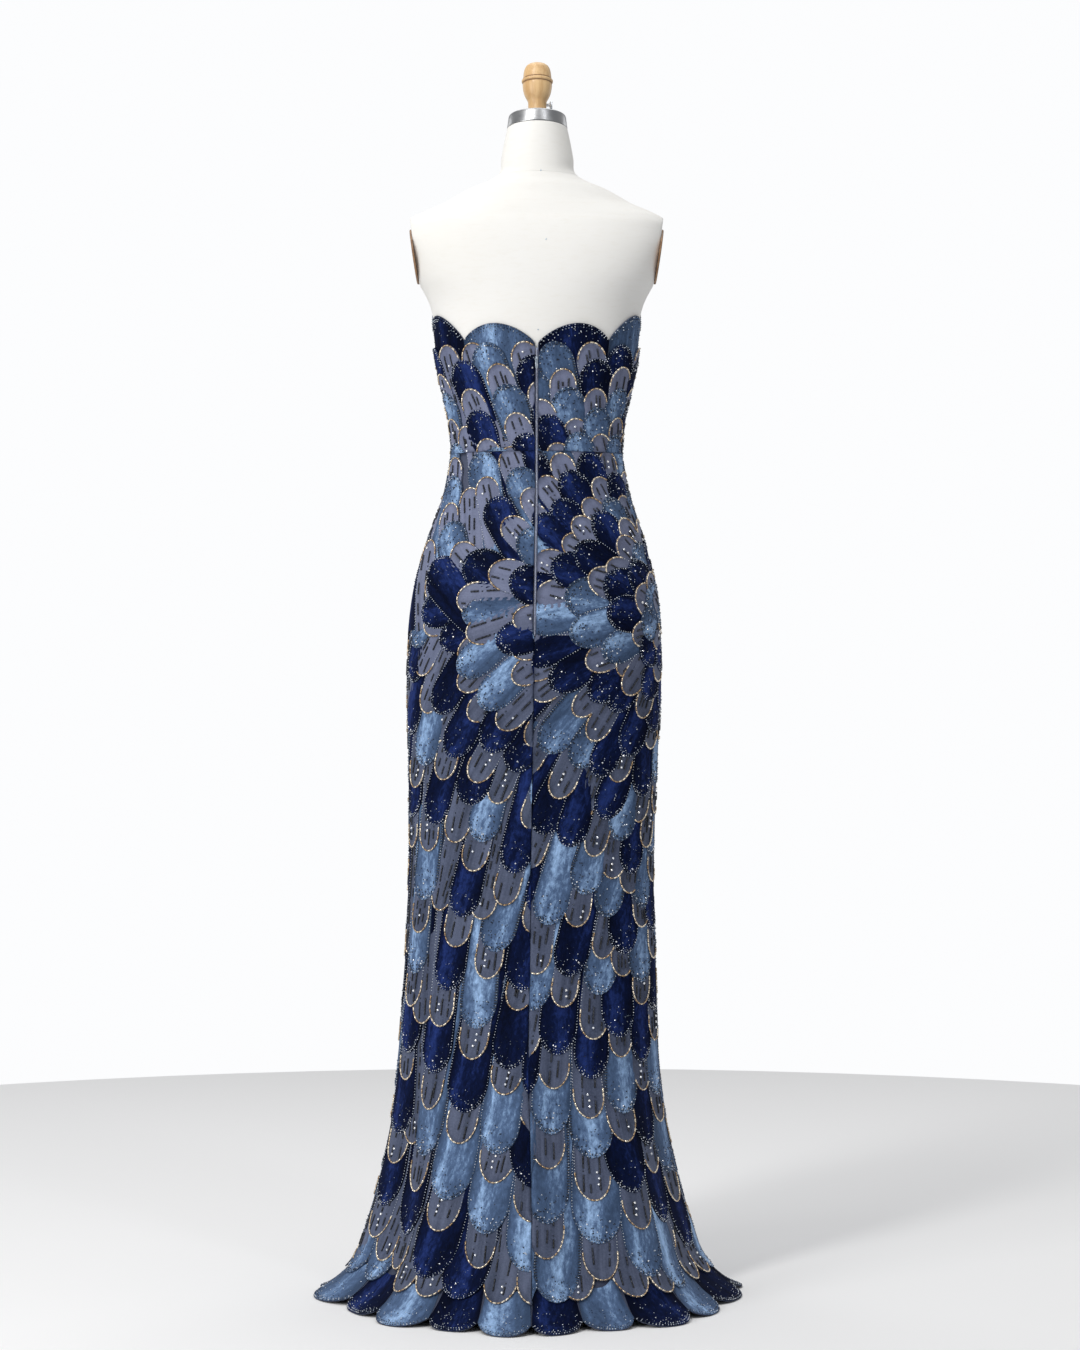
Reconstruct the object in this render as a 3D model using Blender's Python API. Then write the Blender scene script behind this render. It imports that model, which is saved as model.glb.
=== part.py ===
"""Strapless mermaid evening gown worn by a limbless dress form that stands on a post and a round base.

Metres, +Z up. The origin is on the floor under the post. -Y is the back of the gown, where it zips,
+Y is its front and +X its right side. Every cloth panel is a wall on one shared body surface.
"""
import math
from collections import namedtuple

import bmesh
import bpy
from mathutils import Vector

# Cloth and fit
CLOTH = 0.0016          # beaded mesh with its lining, one wall
SEAM_GAP = 0.0003       # between two panels that are sewn together
EASE = 0.0008           # between the cloth's inside and the dress form
ANGLE_STEPS = 96        # facets round the gown and the dress form

# Levels and edges of the gown
WAIST_Z = 1.228
TOP_LOBES = 8           # scallops round the top edge
TOP_LOBE_RISE = 0.029
TOP_STRIPS = 6
HEM_LOBE_STEPS = (4, 4, 5, 5, 6, 5, 5, 5, 5, 4)    # facets of each hem scallop, centre back to centre front
HEM_NOTCH_ROW = 1.05    # row of the body table that the notches between hem scallops reach
HEM_FULL_ROW = 3.0      # from this row up, the rings are level
HEM_STRIPS = 3
FLUTES = 8              # soft upright folds of the flared skirt
FLUTE_DEPTH = 0.013
FLUTE_TOP_Z = 0.46
FLUTE_FULL_Z = 0.06

# Bust of the form, under the front panel
BUST_Z = 1.372
BUST_ANGLE = 29.0       # degrees each side of the centre front
BUST_SPREAD = 19.0      # degrees
BUST_DEPTH = 0.030
BUST_ABOVE = 0.062
BUST_BELOW = 0.042

# Zip, up the centre back
ZIP_BOTTOM_Z = 0.960
ZIP_TOP_Z = 1.376
ZIP_WIDTH = 0.0034
ZIP_THICK = 0.0012
ZIP_STEPS = 14
SLIDER_Z = 1.3590
SLIDER = (0.0050, 0.0020, 0.0090)
PULL = (0.0040, 0.0009, 0.0150)     # width, thickness, length below its pivot
PULL_WINDOW = (0.0022, 0.0030)
BRIDGE_WIDTH = 0.0012
BRIDGE_BORE = 0.0010
BRIDGE_WALL = 0.0007
PIVOT_OUT = 0.0012                  # from the slider's face to the pull's pivot

# Dress form
FORM_BOTTOM_Z = 0.930
NECK_TILT = 9.0                     # degrees that the neck's top leans forward
ARM_CUT_TOP = (0.1852, 1.572)       # x and z of two points of the flat at the arm
ARM_CUT_LOW = (0.1727, 1.484)
PLATE_CENTRE_Z = 1.519
PLATE_SIZE = (0.080, 0.106, 0.003)  # depth, height, thickness
PLATE_STEPS = 28
CAP_STEPS = 48
CAP_HEIGHT = 0.0180
CAP_DOME = 0.0025
KNOB_STEPS = 24
SCREW_UP = 0.0170                   # height of the thumb screw above the knob's foot
SCREW_RADIUS = 0.0022
SCREW_HOLE_RADIUS = 0.0026
SCREW_DEPTH = 0.0070
SCREW_SHANK = 0.0050                # shank that shows outside the knob
SCREW_HEAD = (0.0058, 0.0036)       # radius, thickness
POST_RADIUS = 0.016
BASE_RADIUS = 0.160
BASE_THICK = 0.010
BOSS_RADIUS = 0.030
BOSS_TOP_Z = 0.045

# The body surface, a row for each level from the hem up: half width, how far the back and the front lie
# from the post's axis, where the widest points lie between them, how square the section is (2 is an ellipse),
# and how far the section hangs to one side
Row = namedtuple("Row", "z half_width back middle front square side")
BODY = [
    Row(0.0016, 0.310, 0.320, 0.000, 0.256, 2.0, -0.007),   # tips of the hem, on the floor
    Row(0.0120, 0.287, 0.299, 0.000, 0.239, 2.0, -0.007),
    Row(0.0320, 0.262, 0.276, 0.000, 0.221, 2.0, -0.007),
    Row(0.0600, 0.241, 0.252, 0.000, 0.204, 2.0, -0.007),
    Row(0.1000, 0.228, 0.228, 0.000, 0.188, 2.0, -0.007),
    Row(0.1600, 0.2115, 0.200, 0.000, 0.169, 2.0, -0.008),
    Row(0.2300, 0.1975, 0.173, 0.000, 0.150, 2.0, -0.009),
    Row(0.3100, 0.1885, 0.149, 0.000, 0.133, 2.0, -0.011),
    Row(0.4000, 0.1845, 0.130, 0.000, 0.120, 2.0, -0.011),
    Row(0.5000, 0.1805, 0.117, 0.000, 0.111, 2.0, -0.009),
    Row(0.6300, 0.1765, 0.112, 0.000, 0.107, 2.0, -0.008),  # knee
    Row(0.7600, 0.1790, 0.117, 0.000, 0.108, 2.0, -0.006),
    Row(0.8800, 0.1830, 0.126, 0.000, 0.112, 2.0, -0.004),
    Row(0.9580, 0.1825, 0.130, 0.000, 0.113, 2.0, -0.003),  # hip, and the end of the zip
    Row(1.0300, 0.1750, 0.127, 0.000, 0.110, 2.0, -0.002),
    Row(1.1000, 0.1570, 0.114, 0.000, 0.104, 2.0, -0.001),
    Row(1.1650, 0.1350, 0.096, 0.000, 0.096, 2.0, 0.000),
    Row(1.2280, 0.1230, 0.083, 0.000, 0.091, 2.0, 0.000),   # waist
    Row(1.2750, 0.1265, 0.085, 0.000, 0.094, 2.0, 0.000),
    Row(1.3200, 0.1360, 0.090, 0.000, 0.100, 2.0, 0.000),
    Row(1.3650, 0.1460, 0.096, 0.000, 0.106, 2.0, 0.000),
    Row(1.4100, 0.1510, 0.100, 0.000, 0.110, 2.0, 0.000),
    Row(1.4500, 0.1600, 0.101, 0.000, 0.107, 2.1, 0.000),
    Row(1.4900, 0.1810, 0.099, 0.000, 0.097, 2.4, 0.000),
    Row(1.5300, 0.1965, 0.093, 0.000, 0.083, 2.6, 0.000),
    Row(1.5600, 0.1975, 0.085, -0.003, 0.070, 2.5, 0.000),
    Row(1.5750, 0.1890, 0.079, -0.005, 0.062, 2.3, 0.000),  # shoulder tips
    Row(1.5860, 0.1690, 0.075, -0.006, 0.057, 2.1, 0.001),
    Row(1.5980, 0.1410, 0.070, -0.006, 0.053, 2.0, 0.001),
    Row(1.6090, 0.1220, 0.065, -0.005, 0.051, 2.0, 0.001),
    Row(1.6210, 0.1000, 0.060, -0.004, 0.050, 2.0, 0.001),
    Row(1.6320, 0.0740, 0.054, -0.002, 0.050, 2.0, 0.001),
    Row(1.6440, 0.0575, 0.049, 0.001, 0.052, 2.0, 0.001),   # foot of the neck
    Row(1.6640, 0.0555, 0.043, 0.006, 0.056, 2.0, 0.001),
    Row(1.6880, 0.0515, 0.035, 0.013, 0.061, 2.0, 0.001),
    Row(1.7100, 0.0470, 0.026, 0.020, 0.066, 2.0, 0.001),   # top of the neck
]
HEM_TIP_ROW = 0.0
SKIRT_RING_ROWS = [3, 4, 5, 6, 7, 8, 9, 10, 11, 12, 12.97, 13, 14, 15, 16]
SHOULDER_ROW = 23
NECK_FOOT_Z = 1.632
NECK_TOP_ROW = len(BODY) - 1

# Level of the notches between the scallops of the top edge, by the angle from the centre back
Edge = namedtuple("Edge", "angle z")
TOP_NOTCHES = [
    Edge(0, 1.380),     # centre back
    Edge(45, 1.389),
    Edge(90, 1.410),    # side seam
    Edge(135, 1.424),
    Edge(180, 1.400),   # centre front
]

# The turned knob, from its foot up
Turn = namedtuple("Turn", "height radius")
KNOB = [
    Turn(0.0000, 0.0142),
    Turn(0.0030, 0.0133),
    Turn(0.0210, 0.0136),
    Turn(0.0270, 0.0165),
    Turn(0.0340, 0.0196),
    Turn(0.0430, 0.0214),
    Turn(0.0500, 0.0218),
    Turn(0.0520, 0.0232),   # bead round the knob
    Turn(0.0550, 0.0232),
    Turn(0.0570, 0.0210),
    Turn(0.0655, 0.0202),
    Turn(0.0730, 0.0182),
    Turn(0.0785, 0.0132),
    Turn(0.0810, 0.0065),
]

# Colours: base colour, roughness, metallic
Finish = namedtuple("Finish", "colour roughness metallic")
FINISHES = {
    "beaded_cloth": Finish((0.045, 0.075, 0.165), 0.55, 0.0),
    "zip_tape": Finish((0.25, 0.27, 0.36), 0.6, 0.0),
    "zip_metal": Finish((0.62, 0.64, 0.68), 0.3, 1.0),
    "canvas": Finish((0.86, 0.84, 0.79), 0.9, 0.0),
    "steel_cap": Finish((0.42, 0.43, 0.45), 0.3, 1.0),
    "turned_wood": Finish((0.72, 0.50, 0.27), 0.45, 0.0),
    "arm_plate": Finish((0.33, 0.20, 0.11), 0.5, 0.0),
    "stand_steel": Finish((0.08, 0.08, 0.085), 0.4, 1.0),
}


def ease_in(value):
    """0 below 0, 1 above 1 and smooth between."""
    value = min(1.0, max(0.0, value))
    return value * value * (3.0 - 2.0 * value)


def spline(values, place):
    """Catmull-Rom curve through the values, read at a fractional index."""
    last = len(values) - 1
    i = min(int(place), last - 1)
    u = place - i
    a = values[max(i - 1, 0)]
    b = values[i]
    c = values[i + 1]
    d = values[min(i + 2, last)]
    return 0.5 * (2 * b + (c - a) * u + (2 * a - 5 * b + 4 * c - d) * u * u + (3 * b - a - 3 * c + d) * u ** 3)


def body_row(row):
    return Row(*(spline([getattr(r, name) for r in BODY], row) for name in Row._fields))


def row_at_z(z):
    """The fractional row of the body table at a level, by halving."""
    low = 0.0
    high = float(NECK_TOP_ROW)
    while high - low > 1e-7:
        middle = (low + high) / 2
        if spline([r.z for r in BODY], middle) < z:
            low = middle
        else:
            high = middle
    return low


def power(value, exponent):
    return math.copysign(abs(value) ** exponent, value)


def bust(angle, z):
    """How far the bust stands out of the section."""
    from_front = abs(abs(angle) - math.pi)
    off = (math.degrees(from_front) - BUST_ANGLE) / BUST_SPREAD
    reach = BUST_ABOVE if z > BUST_Z else BUST_BELOW
    return BUST_DEPTH * math.exp(-off * off - ((z - BUST_Z) / reach) ** 2)


def flute(angle, z):
    """How far the skirt's soft folds swing in and out at an angle."""
    share = ease_in((FLUTE_TOP_Z - z) / (FLUTE_TOP_Z - FLUTE_FULL_Z))
    wave = 0.7 * math.cos(FLUTES * angle + 0.8 * math.sin(2 * angle + 0.6)) + 0.3 * math.cos(5 * angle + 1.1)
    return FLUTE_DEPTH * share * wave


def body_point(angle, row):
    """Point of the gown's outer face: angle 0 is the centre back and a quarter turn is +X."""
    r = body_row(row)
    sine = math.sin(angle)
    cosine = math.cos(angle)
    share = 2.0 / r.square
    out = flute(angle, r.z)
    x = r.side + r.half_width * power(sine, share) + out * sine
    depth = r.back + r.middle if cosine > 0 else r.front - r.middle
    y = r.middle - depth * power(cosine, share) - out * cosine + bust(angle, r.z)
    tilt = NECK_TILT * ease_in((r.z - NECK_FOOT_Z) / (BODY[-1].z - NECK_FOOT_Z))
    return Vector((x, y, r.z - (y - r.middle) * math.tan(math.radians(tilt))))


def body_normal(angle, row):
    """Outward normal of the body surface, from its neighbours."""
    step = 1e-3
    low = max(row - step, 0.0)
    high = min(row + step, NECK_TOP_ROW)
    round_it = body_point(angle + step, row) - body_point(angle - step, row)
    up_it = body_point(angle, high) - body_point(angle, low)
    return round_it.cross(up_it).normalized()


def arch(share):
    """A scallop's rise over its width: 0 at both notches and 1 in the middle."""
    return max(0.0, math.sin(math.pi * share)) ** 0.75


def hem_row(angle):
    """Row of the body table that the hem reaches at an angle."""
    steps = abs(math.remainder(angle, math.tau)) / math.tau * ANGLE_STEPS
    for width in HEM_LOBE_STEPS:
        if steps <= width:
            break
        steps -= width
    return HEM_NOTCH_ROW + (HEM_TIP_ROW - HEM_NOTCH_ROW) * arch(steps / width)


def top_z(angle):
    """Level of the top edge at an angle."""
    degrees = abs(math.degrees(math.remainder(angle, math.tau)))
    step = TOP_NOTCHES[1].angle
    notch = spline([e.z for e in TOP_NOTCHES], degrees / step)
    return notch + TOP_LOBE_RISE * arch((angle * TOP_LOBES / math.tau) % 1.0)


def finish(name):
    """The material of a finish, made once."""
    material = bpy.data.materials.get(name)
    if material is None:
        values = FINISHES[name]
        material = bpy.data.materials.new(name)
        material.use_nodes = True
        shader = material.node_tree.nodes["Principled BSDF"]
        shader.inputs["Base Color"].default_value = (*values.colour, 1.0)
        shader.inputs["Roughness"].default_value = values.roughness
        shader.inputs["Metallic"].default_value = values.metallic
    return material


def add_mesh(name, mesh, finish_name, parent=None, smooth=40.0):
    """An object for a bmesh, shaded smooth up to an angle."""
    data = bpy.data.meshes.new(name)
    mesh.to_mesh(data)
    mesh.free()
    data.shade_smooth()
    data.set_sharp_from_angle(angle=math.radians(smooth))
    data.materials.append(finish(finish_name))
    obj = bpy.data.objects.new(name, data)
    bpy.context.scene.collection.objects.link(obj)
    obj.parent = parent
    return obj


def wall_mesh(outer, inner):
    """A closed wall between two grids of points, rows by columns, with the outer one seen from outside."""
    mesh = bmesh.new()
    rows = len(outer)
    columns = len(outer[0])
    out = [[mesh.verts.new(p) for p in line] for line in outer]
    into = [[mesh.verts.new(p) for p in line] for line in inner]
    for i in range(rows - 1):
        for j in range(columns - 1):
            mesh.faces.new((out[i][j], out[i][j + 1], out[i + 1][j + 1], out[i + 1][j]))
            mesh.faces.new((into[i][j], into[i + 1][j], into[i + 1][j + 1], into[i][j + 1]))
    for i in range(rows - 1):
        mesh.faces.new((out[i][0], out[i + 1][0], into[i + 1][0], into[i][0]))
        mesh.faces.new((out[i][-1], into[i][-1], into[i + 1][-1], out[i + 1][-1]))
    for j in range(columns - 1):
        mesh.faces.new((out[0][j], into[0][j], into[0][j + 1], out[0][j + 1]))
        mesh.faces.new((out[-1][j], out[-1][j + 1], into[-1][j + 1], into[-1][j]))
    return mesh


def turned_mesh(profile, steps):
    """A solid of revolution about Z from (radius, height) points, foot first, by spinning the profile."""
    mesh = bmesh.new()
    corners = [mesh.verts.new((radius, 0.0, height)) for radius, height in profile]
    edges = [mesh.edges.new(pair) for pair in zip(corners, corners[1:])]
    bmesh.ops.spin(mesh, geom=corners + edges, cent=(0, 0, 0), axis=(0, 0, 1), angle=math.tau,
                   steps=steps, use_merge=True)
    bmesh.ops.remove_doubles(mesh, verts=mesh.verts[:], dist=1e-6)
    bmesh.ops.holes_fill(mesh, edges=mesh.edges[:], sides=0)
    bmesh.ops.recalc_face_normals(mesh, faces=mesh.faces[:])
    return mesh


def half_gap(angle, row):
    """Half of the gap at a panel's side edge: the zip's at the upper centre back, a seam's elsewhere."""
    at_back = abs(math.remainder(angle, math.tau)) < 1e-6
    if at_back and body_row(row).z > ZIP_BOTTOM_Z - 0.003:
        return ZIP_WIDTH / 2 + SEAM_GAP
    return SEAM_GAP / 2


def panel(name, first, last, rings):
    """A cloth panel from one seam angle to the next, in steps round the gown. rings gives each ring's row."""
    outer = []
    inner = []
    for ring in rings:
        line_out = []
        line_in = []
        for k in range(first, last + 1):
            angle = k * math.tau / ANGLE_STEPS
            row = ring(angle)
            if k in (first, last):
                around = (body_point(angle + 0.01, row) - body_point(angle, row)).length / 0.01
                angle += half_gap(angle, row) / around * (1 if k == first else -1)
            point = body_point(angle, row)
            inside = point - body_normal(angle, row) * CLOTH
            inside.z = max(inside.z, 0.0)
            line_out.append(point)
            line_in.append(inside)
        outer.append(line_out)
        inner.append(line_in)
    return add_mesh(name, wall_mesh(outer, inner), "beaded_cloth")


def skirt_rings():
    """Rings of the skirt from the scalloped hem up to the waist seam."""
    rings = []
    for k in range(HEM_STRIPS):
        share = k / HEM_STRIPS
        rings.append(lambda angle, share=share: hem_row(angle) + (HEM_FULL_ROW - hem_row(angle)) * share)
    for row in SKIRT_RING_ROWS:
        rings.append(lambda angle, row=row: float(row))
    seam_row = row_at_z(WAIST_Z - SEAM_GAP / 2)
    rings.append(lambda angle: seam_row)
    return rings


def bodice_rings():
    """Rings of the bodice from the waist seam up to the scalloped top edge."""
    seam_z = WAIST_Z + SEAM_GAP / 2
    rings = []
    for k in range(TOP_STRIPS + 1):
        share = k / TOP_STRIPS
        rings.append(lambda angle, share=share: row_at_z(seam_z + (top_z(angle) - seam_z) * share))
    return rings


def make_gown():
    """Six panels: front, back left and back right, above and below the waist seam."""
    quarter = ANGLE_STEPS // 4
    for part, rings in (("skirt", skirt_rings()), ("bodice", bodice_rings())):
        panel(part + "_back_right", 0, quarter, rings)
        panel(part + "_front", quarter, 3 * quarter, rings)
        panel(part + "_back_left", 3 * quarter, ANGLE_STEPS, rings)


def back_surface(z):
    """Point of the gown's outer face on the centre back line."""
    return body_point(0.0, row_at_z(z))


def make_zip():
    """The zip's chain between the back panels, its slider with a bridge, and the pull that hangs in it."""
    outer = []
    inner = []
    for k in range(ZIP_STEPS + 1):
        on_back = back_surface(ZIP_BOTTOM_Z + (ZIP_TOP_Z - ZIP_BOTTOM_Z) * k / ZIP_STEPS)
        sides = (on_back.x - ZIP_WIDTH / 2, on_back.x + ZIP_WIDTH / 2)
        outer.append([Vector((x, on_back.y, on_back.z)) for x in sides])
        inner.append([Vector((x, on_back.y + ZIP_THICK, on_back.z)) for x in sides])
    add_mesh("zip_chain", wall_mesh(outer, inner), "zip_tape")

    width, depth, height = SLIDER
    lower = back_surface(SLIDER_Z - height / 2)
    upper = back_surface(SLIDER_Z + height / 2)
    lean = math.atan2(lower.y - upper.y, upper.z - lower.z)
    slider_place = bpy.data.objects.new("slider_place", None)
    slider_place.location = (0, (lower.y + upper.y) / 2 - SEAM_GAP - depth / 2, SLIDER_Z)
    slider_place.rotation_euler = (lean, 0, 0)
    bpy.context.scene.collection.objects.link(slider_place)

    body = bmesh.new()
    bmesh.ops.create_cube(body, size=1.0)
    bmesh.ops.scale(body, vec=(width, depth, height), verts=body.verts)
    bmesh.ops.bevel(body, geom=body.edges[:], offset=0.0005, segments=1, affect="EDGES")
    slider = add_mesh("zip_slider", body, "zip_metal", slider_place)

    outside = BRIDGE_BORE + BRIDGE_WALL
    face_y = -depth / 2
    pivot = Vector((0.0, face_y - PIVOT_OUT, height / 4))
    outline = [(face_y + 0.0006, outside), (face_y + 0.0006, BRIDGE_BORE)]
    arc = 6
    for k in range(arc + 1):
        turn = math.pi * k / arc
        outline.append((pivot.y - BRIDGE_BORE * math.sin(turn), BRIDGE_BORE * math.cos(turn)))
    outline += [(face_y + 0.0006, -BRIDGE_BORE), (face_y + 0.0006, -outside)]
    for k in range(arc, -1, -1):
        turn = math.pi * k / arc
        outline.append((pivot.y - outside * math.sin(turn), outside * math.cos(turn)))
    bridge = bmesh.new()
    corners = [bridge.verts.new((-BRIDGE_WIDTH / 2, y, pivot.z + z)) for y, z in outline]
    side = bridge.faces.new(corners)
    pulled = bmesh.ops.extrude_face_region(bridge, geom=[side])
    moved = [v for v in pulled["geom"] if isinstance(v, bmesh.types.BMVert)]
    bmesh.ops.translate(bridge, vec=(BRIDGE_WIDTH, 0, 0), verts=moved)
    bmesh.ops.recalc_face_normals(bridge, faces=bridge.faces[:])
    bridge_guide = add_mesh("bridge_guide", bridge, "zip_metal", slider_place)
    hide_guide(bridge_guide)
    join = slider.modifiers.new("bridge", "BOOLEAN")
    join.operation = "UNION"
    join.object = bridge_guide

    pull_width, thick, length = PULL
    window_width, window_length = PULL_WINDOW
    top = thick / 2
    outer_edge = [
        (pull_width * 0.42, top), (pull_width * 0.42, -window_length), (pull_width * 0.5, -length * 0.7),
        (pull_width * 0.38, -length * 0.95), (0.0, -length),
    ]
    loop = outer_edge + [(-x, z) for x, z in reversed(outer_edge[:-1])]
    window = [(window_width / 2, -top), (window_width / 2, -window_length),
              (-window_width / 2, -window_length), (-window_width / 2, -top)]
    curve = bpy.data.curves.new("zip_pull", "CURVE")
    curve.dimensions = "2D"
    curve.fill_mode = "BOTH"
    curve.extrude = thick / 2
    for points in (loop, window):
        line = curve.splines.new("POLY")
        line.points.add(len(points) - 1)
        for point, (x, z) in zip(line.points, points):
            point.co = (x, z, 0.0, 1.0)
        line.use_cyclic_u = True
    curve.materials.append(finish("zip_metal"))
    pull = bpy.data.objects.new("zip_pull", curve)
    bpy.context.scene.collection.objects.link(pull)
    bpy.context.view_layer.update()
    pull.location = slider_place.matrix_world @ pivot
    pull.rotation_euler = (math.pi / 2, 0, 0)


def hide_guide(obj):
    """A cutter or a guide isn't a piece of the object."""
    obj.hide_render = True
    obj.display_type = "WIRE"


def form_rings():
    """Rings of the dress form: the gown's own rings as far up as its top edge, then the body's rows."""
    first = row_at_z(FORM_BOTTOM_Z)
    rings = [lambda angle: first]
    for row in SKIRT_RING_ROWS[-4:]:
        rings.append(lambda angle, row=row: float(row))
    rings += bodice_rings()
    rings.append(lambda angle: (row_at_z(top_z(angle)) + SHOULDER_ROW) / 2)
    for row in range(SHOULDER_ROW, NECK_TOP_ROW + 1):
        rings.append(lambda angle, row=row: float(row))
    return rings


def arm_plane(side):
    """Centre and outward normal of the flat at an arm; side is 1 on the right and -1 on the left."""
    run = ARM_CUT_TOP[0] - ARM_CUT_LOW[0]
    rise = ARM_CUT_TOP[1] - ARM_CUT_LOW[1]
    x = ARM_CUT_LOW[0] + run * (PLATE_CENTRE_Z - ARM_CUT_LOW[1]) / rise
    centre = Vector((side * x, -0.004, PLATE_CENTRE_Z))
    return centre, Vector((side * rise, 0.0, -run)).normalized()


def make_form_body():
    """The canvas body: a loft from the flat bottom to the neck, cut flat at both arms."""
    mesh = bmesh.new()
    rings = []
    for ring in form_rings():
        line = []
        for k in range(ANGLE_STEPS):
            angle = k * math.tau / ANGLE_STEPS
            inside = body_point(angle, ring(angle)) - body_normal(angle, ring(angle)) * (CLOTH + EASE)
            line.append(mesh.verts.new(inside))
        rings.append(line)
    for v in rings[0]:
        v.co.z = FORM_BOTTOM_Z
    for low, high in zip(rings, rings[1:]):
        for k in range(ANGLE_STEPS):
            following = (k + 1) % ANGLE_STEPS
            mesh.faces.new((low[k], low[following], high[following], high[k]))
    mesh.faces.new(rings[0][::-1])
    mesh.faces.new(rings[-1])
    for side in (1, -1):
        centre, normal = arm_plane(side)
        everything = mesh.verts[:] + mesh.edges[:] + mesh.faces[:]
        cut = bmesh.ops.bisect_plane(mesh, geom=everything, plane_co=centre, plane_no=normal, clear_outer=True)
        rim = [e for e in cut["geom_cut"] if isinstance(e, bmesh.types.BMEdge)]
        bmesh.ops.contextual_create(mesh, geom=rim)
    bmesh.ops.recalc_face_normals(mesh, faces=mesh.faces[:])
    add_mesh("form_body", mesh, "canvas")


def make_arm_plates():
    """Oval plates on the flats at the arms."""
    depth, height, thick = PLATE_SIZE
    for name, side in (("form_arm_plate_right", 1), ("form_arm_plate_left", -1)):
        centre, normal = arm_plane(side)
        mesh = turned_mesh([(1.0, 0.0), (1.0, thick * 0.6), (0.96, thick)], PLATE_STEPS)
        bmesh.ops.scale(mesh, vec=(height / 2, depth / 2, 1.0), verts=mesh.verts)
        plate = add_mesh(name, mesh, "arm_plate")
        plate.location = centre + normal * SEAM_GAP
        plate.rotation_mode = "QUATERNION"
        plate.rotation_quaternion = normal.to_track_quat("Z", "Y")


def make_neck_top():
    """Steel cap, turned knob and thumb screw, all leaning forward with the neck."""
    top = body_row(NECK_TOP_ROW)
    lean = math.radians(NECK_TILT)
    neck_top = bpy.data.objects.new("neck_top", None)
    neck_top.location = (top.side, top.middle, top.z)
    neck_top.rotation_euler = (-lean, 0, 0)
    bpy.context.scene.collection.objects.link(neck_top)
    inset = CLOTH + EASE
    half_width = top.half_width - inset
    back = (top.back + top.middle - inset) / math.cos(lean)
    front = (top.front - top.middle - inset) / math.cos(lean)
    levels = [(SEAM_GAP, 1.0), (SEAM_GAP + CAP_HEIGHT, 0.95), (SEAM_GAP + CAP_HEIGHT + CAP_DOME, 0.86)]
    mesh = bmesh.new()
    rings = []
    for z, share in levels:
        ring = []
        for k in range(CAP_STEPS):
            angle = k * math.tau / CAP_STEPS
            reach = back if math.cos(angle) > 0 else front
            ring.append(mesh.verts.new((half_width * share * math.sin(angle), -reach * share * math.cos(angle), z)))
        rings.append(ring)
    for low, high in zip(rings, rings[1:]):
        for k in range(CAP_STEPS):
            following = (k + 1) % CAP_STEPS
            mesh.faces.new((low[k], low[following], high[following], high[k]))
    mesh.faces.new(rings[0][::-1])
    mesh.faces.new(rings[-1])
    add_mesh("form_neck_cap", mesh, "steel_cap", neck_top)

    knob_foot = SEAM_GAP + CAP_HEIGHT + CAP_DOME + SEAM_GAP
    knob = add_mesh("form_knob", turned_mesh([(t.radius, t.height) for t in KNOB], KNOB_STEPS),
                    "turned_wood", neck_top)
    knob.location = (0, 0, knob_foot)
    neck_radius = KNOB[2].radius
    hole = turned_mesh([(SCREW_HOLE_RADIUS, 0.0), (SCREW_HOLE_RADIUS, 0.02)], 12)
    drill = add_mesh("screw_hole", hole, "turned_wood", neck_top)
    drill.location = (neck_radius - SCREW_DEPTH - SEAM_GAP, 0, knob_foot + SCREW_UP)
    drill.rotation_euler = (0, math.pi / 2, 0)
    hide_guide(drill)
    cut = knob.modifiers.new("screw_hole", "BOOLEAN")
    cut.operation = "DIFFERENCE"
    cut.object = drill

    head_radius, head_thick = SCREW_HEAD
    reach = SCREW_DEPTH + SCREW_SHANK
    screw = add_mesh("form_thumb_screw", turned_mesh([
        (SCREW_RADIUS, 0.0), (SCREW_RADIUS, reach), (head_radius * 0.9, reach), (head_radius, reach + 0.0006),
        (head_radius, reach + head_thick - 0.0006), (head_radius * 0.9, reach + head_thick),
    ], 12), "zip_metal", neck_top)
    screw.location = (neck_radius - SCREW_DEPTH, 0, knob_foot + SCREW_UP)
    screw.rotation_euler = (0, math.pi / 2, 0)


def make_stand():
    """Round base with a boss, and the post up to the form's flat bottom."""
    chamfer = 0.002
    add_mesh("form_base", turned_mesh([
        (BASE_RADIUS, 0.0), (BASE_RADIUS, BASE_THICK - chamfer), (BASE_RADIUS - chamfer, BASE_THICK),
        (BOSS_RADIUS + chamfer, BASE_THICK), (BOSS_RADIUS, BASE_THICK + chamfer),
        (BOSS_RADIUS * 0.85, BOSS_TOP_Z),
    ], 40), "stand_steel")
    length = FORM_BOTTOM_Z - BOSS_TOP_Z - 2 * SEAM_GAP
    post = add_mesh("form_post", turned_mesh([(POST_RADIUS, 0.0), (POST_RADIUS, length)], 20), "stand_steel")
    post.location = (0, 0, BOSS_TOP_Z + SEAM_GAP)


def main():
    for obj in list(bpy.data.objects):
        bpy.data.objects.remove(obj)
    make_gown()
    make_zip()
    make_form_body()
    make_arm_plates()
    make_neck_top()
    make_stand()


main()
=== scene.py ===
import math
import bpy
import numpy as np
from mathutils import Matrix, Vector


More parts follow.
